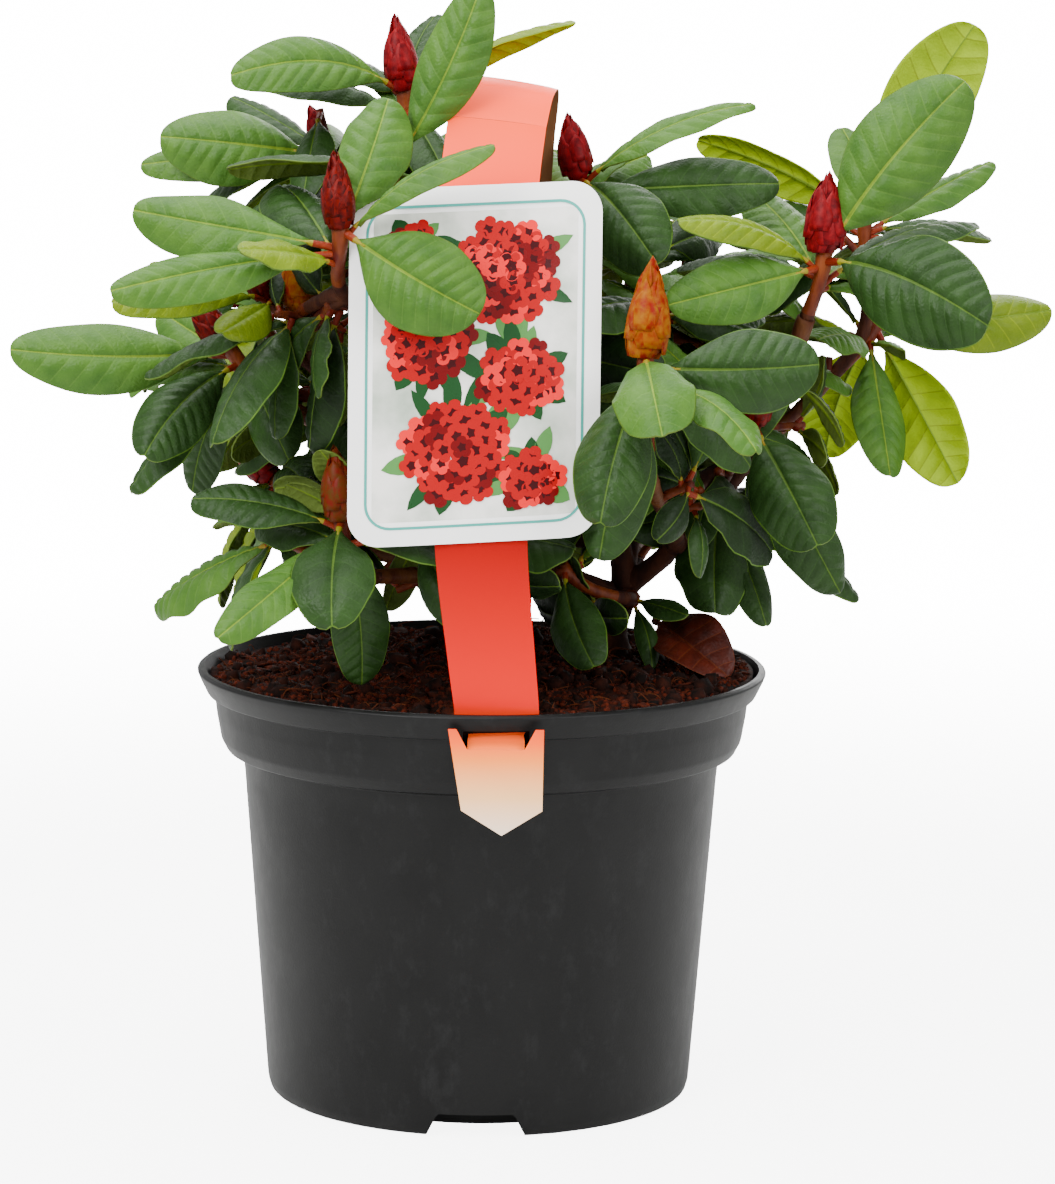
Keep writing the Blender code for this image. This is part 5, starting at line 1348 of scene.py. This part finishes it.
def addLeaf(sheaf, leaf, seed):
    rng = random.Random(seed)
    shape = bladeShape
    along = leaf.tip - leaf.root
    length, width = along.length, leaf.width
    ahead = along / length
    side = ahead.cross(leaf.upper).normalized()
    up = side.cross(ahead)
    form = {"skew": rng.uniform(*shape["skew"]), "droop": rng.uniform(*shape["droop"]),
            "phase": rng.uniform(0, 6.28), "twist": math.radians(rng.uniform(-1, 1) * shape["twist"]),
            "bend": rng.uniform(-1, 1) * shape["bend"], "quilt": rng.uniform(*shape["quilt"]),
            "hook": rng.uniform(*shape["hook"]),
            "ripple": shape["ripple"][0] + (shape["ripple"][1] - shape["ripple"][0]) * rng.random() ** 1.8,
            "waves": rng.uniform(11, 21)}
    if leaf.tone == "dead":
        # Its edges have curled in.
        form.update(droop=-0.2, ripple=0.045, waves=9.0, twist=0.35, quilt=0.05)
    fine = length > shape["fineFrom"]
    pairs = shape["veinPairs"] + rng.randrange(-1, 2) - 2 * (not fine)
    stops, veins = [(0.0, 0.0), (0.035, 0.45)], set()
    for k in range(pairs):
        centre = (k + 0.72) / (pairs + 0.45)
        gap = 1 / (pairs + 0.45)
        veins.add(len(stops))
        stops += [(centre - shape["veinHalf"], 0.0), (centre + shape["veinHalf"], 0.0)]
        stops += [(centre + gap * part, math.sin(math.pi * part) ** 0.7)
                  for part in ((0.22, 0.5, 0.78) if fine else (0.5,)) if centre + gap * part < 0.985]
    stops.append((0.995, 0.0))
    columns = [0.0, None, *(shape["across"] if fine else shape["acrossSmall"])]
    grid = []
    for s, phase in stops:
        end = s + shape["slant"] * math.sin(math.pi * s)
        half = max(0.9, width / 2 * bladeWidth(end, form))
        row = []
        for t in columns:
            if t is None:
                t = min(0.3, max(0.23, shape["midrib"] * width * (1.1 - 0.85 * s)) / half)
            a = s + (end - s) * t**1.2
            share = shape["petiole"] + (1 - shape["petiole"]) * a
            rise = leaf.arch * length * 4 * share * (1 - share)
            rise += half * 2 * (shape["shoulder"] * math.sin(math.pi * t**0.8) - form["droop"] * t * t)
            rise += form["quilt"] * width * phase * math.sin(math.pi * min(1, t * 1.02)) ** 0.6
            rise -= shape["groove"] * (phase == 0) * math.sin(math.pi * t)
            rise += form["ripple"] * width * math.sin(form["waves"] * a + form["phase"]) * t**2.5
            rise -= form["hook"] * length * a**2 * (1 - 0.55 * a) * a
            if t == 0:
                rise -= 0.3 * (1 - a)
            row.append((share * length, t * half, rise, a, share))
        grid.append(row)
    points, index, total = [], {}, len(columns) - 1
    ribs = veins | {r + 1 for r in veins}

    def place(x, y, z, share):
        turn = form["twist"] * (share - 0.4)
        y, z = y * math.cos(turn) - z * math.sin(turn) * 0.3, z + y * math.sin(turn)
        y += form["bend"] * length * 4 * share * (1 - share)
        return leaf.root + ahead * x + side * y + up * z

    for r, row in enumerate(grid):
        for c in range(-total, total + 1):
            x, y, z, a, share = row[abs(c)]
            y = math.copysign(y, c) if c else 0.0
            index[r, c, 0] = len(points)
            points.append(place(x, y, z, share))
            if abs(c) == total:
                index[r, c, 1] = index[r, c, 0]
                continue
            deep = shape["thick"]
            if c == 0:
                deep += 0.9 * (1 - a)
            elif abs(c) == 1:
                deep += 0.3 * (1 - a)
            elif r in ribs and abs(c) < total - 1:
                deep += shape["rib"]
            index[r, c, 1] = len(points)
            points.append(place(x, y, z - deep, share))
    upper, vein = leafSlots[leaf.tone]
    # Leaves of the lit tone show the painted backlight glow underneath, with their veins in the young vein
    # colour.
    under = undersideLit if leaf.tone == "lit" else underside
    faces, slots = [], []
    for r in range(len(grid) - 1):
        for c in range(-total, total):
            near = min(abs(c), abs(c + 1))
            faces.append((index[r, c, 0], index[r, c + 1, 0], index[r + 1, c + 1, 0], index[r + 1, c, 0]))
            faces.append((index[r, c, 1], index[r + 1, c, 1], index[r + 1, c + 1, 1], index[r, c + 1, 1]))
            if near == 0:
                slots += [darkMidrib if upper in (0, 12) else paleMidrib, paleMidrib]
            elif near >= total - 1:
                slots += [margin, under]
            elif r in veins and near < total - 2:
                slots += [vein, vein if under == undersideLit else under]
            else:
                slots += [upper, under]
    last = len(grid) - 1
    points.append(place(length, 0.0, grid[last][0][2] - 0.2, 1.0))
    tip = len(points) - 1
    for c in range(-total, total):
        faces.append((index[last, c, 0], index[last, c + 1, 0], tip))
        faces.append((index[last, c + 1, 1], index[last, c, 1], tip))
        faces.append((index[0, c, 0], index[0, c, 1], index[0, c + 1, 1], index[0, c + 1, 0]))
        slots += [margin, under, paleMidrib]
    sheaf.add(points, [tuple(dict.fromkeys(face)) for face in faces], slots)
    # The petiole, clasping the shoot and running on under the midrib.
    stalk, radii = [], []
    for i in range(8):
        share = (shape["petiole"] + 0.06) * i / 7
        a = max(0.0, (share - shape["petiole"]) / (1 - shape["petiole"]))
        rise = leaf.arch * length * 4 * share * (1 - share) - (0.55 if i > 5 else 0.15)
        stalk.append(place(share * length, 0, rise, share))
        radii.append(min(1.25, 0.55 + width * 0.024) * (1.35 - 0.5 * (i / 7) ** 0.5) * (1 - 0.3 * (a > 0)))
    points, faces = sweepTube(stalk, radii, 8)
    split = 8 * 4
    sheaf.add(points, faces, [redStalk if i < split else paleStalk for i in range(len(faces))])


def makeLeaves(grown):
    materials = [leafTissue(*look) for look in leafLooks]
    for mass in foliagePlan:
        sheaf = Sheaf()
        for number, (owner, leaf) in enumerate(grown):
            if owner == mass:
                addLeaf(sheaf, leaf, f"{mass} {number}")
        obj = sheaf.build("leaves_" + mass, materials)
        keep(obj, "foliage", mass)


stems = shootPaths()
grown, sideTwigs = growLeaves(stems)
makeLeaves(grown)
print("leaves made:", len(grown))


# twigs and buds

twigShape = {"radius": 1.85, "grown": 2.5, "young": 24.0, "side": 1.5}
budShape = {"scales": 21, "turn": 137.5, "rows": 6, "columns": 4}
budKinds = {"red": ("#480309", "#780e14", 0.0), "bright": ("#2c0202", "#620c06", 0.07),
            "amber": ("#865204", "#741203", 0.0), "green": ("#4a2e0a", "#60140a", 0.0)}


def budScale(name, colour, other):
    # A bud scale: tough, faintly sticky skin with a satin shine and fine lengthwise grain.
    material, tree, shader = startMaterial(name, colour, 0.42, {"Specular IOR Level": 0.07})
    _, cloud, _ = mixByNoise(tree, shader, colour, other, 2.5, 4, 0.35, 0.7)
    addBump(tree, shader, cloud, 0.25, 0.0005)
    return material


def bractObject():
    # One unit scale, pointed and cupped round the bud, as a thin closed shell. Slot 1 is its edge.
    rows, columns = budShape["rows"], budShape["columns"]
    points = []
    for face in (0.02, -0.02):
        for i in range(rows + 1):
            t = i / rows
            half = 0.41 * math.sin(math.pi * min(1, 0.20 + 0.55 * t)) ** 0.8 * (1 - t**3) + 0.003
            for j in range(columns + 1):
                y = half * (2 * j / columns - 1)
                x = 0.05 * math.sin(math.pi * t) - 1.2 * y * y - 0.05 * max(0, t - 0.6)
                points.append((x + face * (1 - 0.6 * abs(2 * j / columns - 1)), y, t))
    slots = []
    for i in range(rows):
        for j in range(columns):
            slots += [1 if j in (0, columns - 1) or i >= rows - 1 else 0] * 2
    faces = plateFaces(rows, columns, columns + 1, 1)
    slots += [1] * (len(faces) - len(slots))
    sheaf = Sheaf()
    sheaf.add(np.array(points) / millimetre, faces, slots)
    return sheaf.build("bract", [bpy.data.materials.new("scale body"), bpy.data.materials.new("scale edge")])


def budTree():
    # Scales set round the bud's axis by the golden angle, from loose ones at its foot to its closed tip.
    tree, into = newNodeGroup("Scales of a bud", (
        ("Core", "Geometry"), ("Bract", "Object"), ("Scales", "Int"), ("Turn", "Float"), ("Length", "Float"),
        ("Width", "Float"), ("Opening", "Float"), ("Seed", "Int"), ("Body", "Material"), ("Edge", "Material"),
        ("Mark", "Material")))

    def maths(kind, a, b):
        links = {i: v for i, v in enumerate((a, b)) if not isinstance(v, (int, float))}
        settings = {i: float(v) for i, v in enumerate((a, b)) if isinstance(v, (int, float))}
        return addNode(tree, "ShaderNodeMath", {"operation": kind, **settings}, links).outputs[0]

    line = addNode(tree, "GeometryNodeMeshLine", {}, {"Count": into["Scales"]})
    number = addNode(tree, "GeometryNodeInputIndex").outputs[0]
    share = maths("DIVIDE", number, into["Scales"])
    angle = maths("MULTIPLY", maths("RADIANS", into["Turn"], 0), number)
    height = maths("MULTIPLY", maths("SUBTRACT", maths("MULTIPLY", share, 0.74), 0.04), into["Length"])
    # The profile swells low down and closes to the tip.
    swell = maths("SINE", maths("ADD", maths("MULTIPLY", share, 2.35), 0.72), 0)
    radius = maths("MULTIPLY", maths("MULTIPLY", swell, 0.50), into["Width"])
    spot = addNode(tree, "ShaderNodeCombineXYZ", {}, {
        "X": maths("MULTIPLY", radius, maths("COSINE", angle, 0)),
        "Y": maths("MULTIPLY", radius, maths("SINE", angle, 0)), "Z": height})
    spread = addNode(tree, "GeometryNodeSetPosition", {},
                     {"Geometry": line.outputs[0], "Position": spot.outputs[0]})
    wobble = addNode(tree, "FunctionNodeRandomValue", {"data_type": "FLOAT", 2: -0.03, 3: 0.05},
                     {"Seed": into["Seed"]}).outputs[1]
    inward = maths("MULTIPLY", share, maths("SUBTRACT", maths("MULTIPLY", share, 1.2), 1.35))
    lean = maths("ADD", maths("ADD", inward, 0.1), maths("ADD", wobble, into["Opening"]))
    turn = addNode(tree, "ShaderNodeCombineXYZ", {}, {"Y": lean, "Z": angle})
    big = maths("MULTIPLY", maths("SUBTRACT", 0.50, maths("MULTIPLY", share, 0.16)), into["Length"])
    bract = addNode(tree, "GeometryNodeObjectInfo", {}, {"Object": into["Bract"]})
    placed = addNode(tree, "GeometryNodeInstanceOnPoints", {},
                     {"Points": spread.outputs[0], "Instance": bract.outputs["Geometry"],
                      "Rotation": turn.outputs[0], "Scale": big})
    both = addNode(tree, "GeometryNodeJoinGeometry")
    tree.links.new(placed.outputs[0], both.inputs[0])
    tree.links.new(into["Core"], both.inputs[0])
    real = addNode(tree, "GeometryNodeRealizeInstances", {}, {"Geometry": both.outputs[0]})
    marked = addNode(tree, "GeometryNodeMaterialSelection", {}, {"Material": into["Mark"]})
    edged = addNode(tree, "GeometryNodeSetMaterial", {},
                    {"Geometry": real.outputs[0], "Material": into["Edge"], "Selection": marked.outputs[0]})
    rest = addNode(tree, "GeometryNodeMaterialSelection", {}, {"Material": into["Edge"]})
    other = addNode(tree, "FunctionNodeBooleanMath", {"operation": "NOT"}, {0: rest.outputs[0]})
    bodied = addNode(tree, "GeometryNodeSetMaterial", {},
                     {"Geometry": edged.outputs[0], "Material": into["Body"], "Selection": other.outputs[0]})
    addNode(tree, "NodeGroupOutput", {}, {"Geometry": bodied.outputs[0]})
    return tree


def makeBuds():
    # A bud for each shoot that has one, all in one piece.
    tree, bract = budTree(), bractObject()
    materials, order, sheaf = [], {}, Sheaf()
    for kind, (body, edge, _) in budKinds.items():
        order[kind] = len(materials)
        materials += [budScale(f"bud scale, {kind}", body, edge),
                      budScale(f"bud scale edge, {kind}", edge, body)]
    for mass, (_, shoots) in foliagePlan.items():
        for number, shoot in enumerate(shoots):
            if not shoot["bud"]:
                continue
            length, width, kind = shoot["bud"]
            first = order[kind]
            core = [(width / 2 * share * 0.96, along) for share, along in
                    ((0.3, -1.0), (0.62, length * 0.06), (0.9, length * 0.24), (0.86, length * 0.42),
                     (0.55, length * 0.66), (0.22, length * 0.84), (0.02, length * 0.96))]
            tube = sweepTube([(0, 0, z) for _, z in core], [r for r, _ in core], 12)
            obj = skinObject("budCore", *tube, [materials[first]])
            modifier = obj.modifiers.new("Scales", "NODES")
            modifier.node_group = tree
            setInputs(modifier, {
                "Bract": bract, "Scales": budShape["scales"], "Turn": budShape["turn"],
                "Length": length * millimetre, "Width": width * millimetre, "Opening": budKinds[kind][2],
                "Seed": number + len(mass),
                "Body": materials[first], "Edge": materials[first + 1], "Mark": bract.data.materials[1]})
            mesh = bakeModifiers(obj)
            names = [material.name for material in mesh.materials]
            toSlot = [first + (name == materials[first + 1].name) for name in names]
            for polygon in mesh.polygons:
                polygon.material_index = toSlot[polygon.material_index]
                # The paler buds redden towards their tips.
                if kind in ("amber", "green") and polygon.center.z > 0.5 * length * millimetre:
                    polygon.material_index = first + 1
            axis = shootAxis(shoot)
            turn = axis.to_track_quat("Z", "Y").to_matrix().to_4x4()
            place = Matrix.Translation(Vector(shoot["at"])) @ turn @ Matrix.Scale(1000, 4)
            sheaf.addMesh(mesh, place)
            bpy.data.objects.remove(obj)
    bpy.data.objects.remove(bract)
    buds = sheaf.build("buds", materials)
    keep(buds, "foliage")


def makeTwigs(stems, sideTwigs):
    # The shoots inside each mass, brown below and red-green where this year's leaves stand.
    sheaf = Sheaf()
    for index, paths in enumerate(stems.values()):
        for number, (_, curve) in enumerate(paths):
            steps = max(8, int((curve[-1] - curve[0]).length / 1.3))
            path = bezier(*curve, steps)
            path[0] = path[0] - (path[1] - path[0]).normalized() * 2
            total = sum((q - p).length for p, q in zip(path, path[1:]))
            radii, run = [], 0.0
            for i, p in enumerate(path):
                run += (p - path[max(0, i - 1)]).length
                thicker = (twigShape["grown"] - twigShape["radius"]) * (1 - run / total)
                radii.append(twigShape["radius"] + thicker)
                radii[-1] += 0.8 * math.exp(-((total - run) / 9) ** 2)
            points, faces = sweepTube(path, radii, 14, barkRelief(index * 3.1 + number, 0.55))
            young = twigShape["young"] / (total / steps)
            slots = [1 if face[0] // 14 > steps - young else 0 for face in faces]
            sheaf.add(points, faces, slots)
    for index, (_, line) in enumerate(sideTwigs):
        path = smoothPath(line, 8)
        radii = [twigShape["side"] * (1.15 - 0.3 * i / (len(path) - 1)) for i in range(len(path))]
        points, faces = sweepTube(path, radii, 9, barkRelief(index * 1.3, 0.35))
        sheaf.add(points, faces, [1 if face[0] > 36 else 0 for face in faces])
    twigs = sheaf.build("twigs", [barkMaterial("twig bark", "#2e0e07", "#4a240f", 4, 0.7),
                                  barkMaterial("young shoot", "#440c05", "#74350e", 6, 0.5)])
    keep(twigs, "foliage")


def makeFallenLeaf():
    # A withered leaf over the compost, set a little lower than its solid.
    dry = leafTissue("withered leaf", "#240b07", "#551d10", 0.42, 0.2)
    rib = leafTissue("withered rib", "#4a2012", "#653019", 0.55, 0.15)
    leaf = Leaf(Vector((58, 8, 160)), Vector((81, -20, 147)), Vector((0.06, -0.84, 0.5)), 23.0, 0.15, "dead")
    sheaf = Sheaf()
    addLeaf(sheaf, leaf, "fallen")
    low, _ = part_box("fallen_leaf")
    drop = sheaf.points[0][:, 2].min() - low[2] * 1000 + 1.6
    for block in sheaf.points:
        block[:, 2] -= drop
    ribs = (1, paleMidrib, margin, redStalk, paleStalk, darkMidrib)
    obj = sheaf.build("fallenLeaf", [rib if i in ribs else dry for i in range(len(leafLooks))])
    keep(obj, "dead leaf", "fallen_leaf")


makeTwigs(stems, sideTwigs)
makeBuds()
makeFallenLeaf()
print("twigs, buds and the fallen leaf made")


# studio

studio = {"camera": (0.015, -1.45, 0.395), "tilt": 81.09, "roll": 0.6, "lens": 133.8,
          "world": 0.85, "backdrop": 16.0, "floor": "#f8f8f6", "near": 0.35, "far": 1.5, "solid": 0.6,
          "drop": 0.0005, "target": (0.02, 0.0, 0.2)}
# Name, place, size and power of each soft light.
studioLights = (("top", (-0.3, 0.1, 1.9), 2.2, 92), ("key", (-1.0, -1.5, 1.3), 1.0, 58),
                ("fill", (1.4, -1.3, 0.9), 1.2, 32), ("rim", (0.5, 1.6, 0.9), 1.2, 26))


def softLight(name, place, target, size, power):
    light = bpy.data.lights.new(name, "AREA")
    light.shape, light.size, light.energy = "SQUARE", size, power
    obj = bpy.data.objects.new(name, light)
    bpy.context.scene.collection.objects.link(obj)
    obj.location = place
    obj.rotation_euler = (Vector(target) - Vector(place)).to_track_quat("-Z", "Y").to_euler()


def makeStudio():
    view = bpy.data.cameras.new("camera")
    view.lens, view.sensor_width = studio["lens"], 36.0
    camera = bpy.data.objects.new("camera", view)
    bpy.context.scene.collection.objects.link(camera)
    camera.location = studio["camera"]
    tilt, roll = (math.radians(studio[way]) for way in ("tilt", "roll"))
    camera.rotation_euler = (Matrix.Rotation(tilt, 4, "X") @ Matrix.Rotation(roll, 4, "Z")).to_euler()
    bpy.context.scene.camera = camera
    world = bpy.data.worlds.new("studio")
    world.use_nodes = True
    back = world.node_tree.nodes["Background"]
    back.inputs["Color"].default_value = (1.0, 1.0, 1.0, 1.0)
    # The white backdrop is seen brighter than it lights.
    seen = addNode(world.node_tree, "ShaderNodeLightPath")
    strength = addNode(world.node_tree, "ShaderNodeMapRange",
                       {"To Min": studio["world"], "To Max": studio["backdrop"]},
                       {"Value": seen.outputs["Is Camera Ray"]})
    world.node_tree.links.new(strength.outputs["Result"], back.inputs["Strength"])
    bpy.context.scene.world = world
    for name, place, size, power in studioLights:
        softLight(name, place, studio["target"], size, power)
    # A pale sheet that fades into the white backdrop at its rim.
    bm = bmesh.new()
    bmesh.ops.create_circle(bm, cap_ends=True, segments=96, radius=studio["far"])
    material, tree, shader = startMaterial("matt white floor sheet", studio["floor"], 0.9)
    place = addNode(tree, "ShaderNodeTexCoord")
    away = addNode(tree, "ShaderNodeVectorMath", {"operation": "LENGTH"}, {0: place.outputs["Object"]})
    solid = addNode(tree, "ShaderNodeMapRange", {"interpolation_type": "SMOOTHSTEP", "From Min": studio["near"],
                                                 "From Max": studio["far"] * 0.8, "To Min": studio["solid"],
                                                 "To Max": 0.0},
                    {"Value": away.outputs["Value"]})
    tree.links.new(solid.outputs["Result"], shader.inputs["Alpha"])
    floor = newObject("floor", meshFromBm("floor", bm, turnOut=False), [material])
    floor.location.z = -studio["drop"]


makeStudio()
print("scene ready")
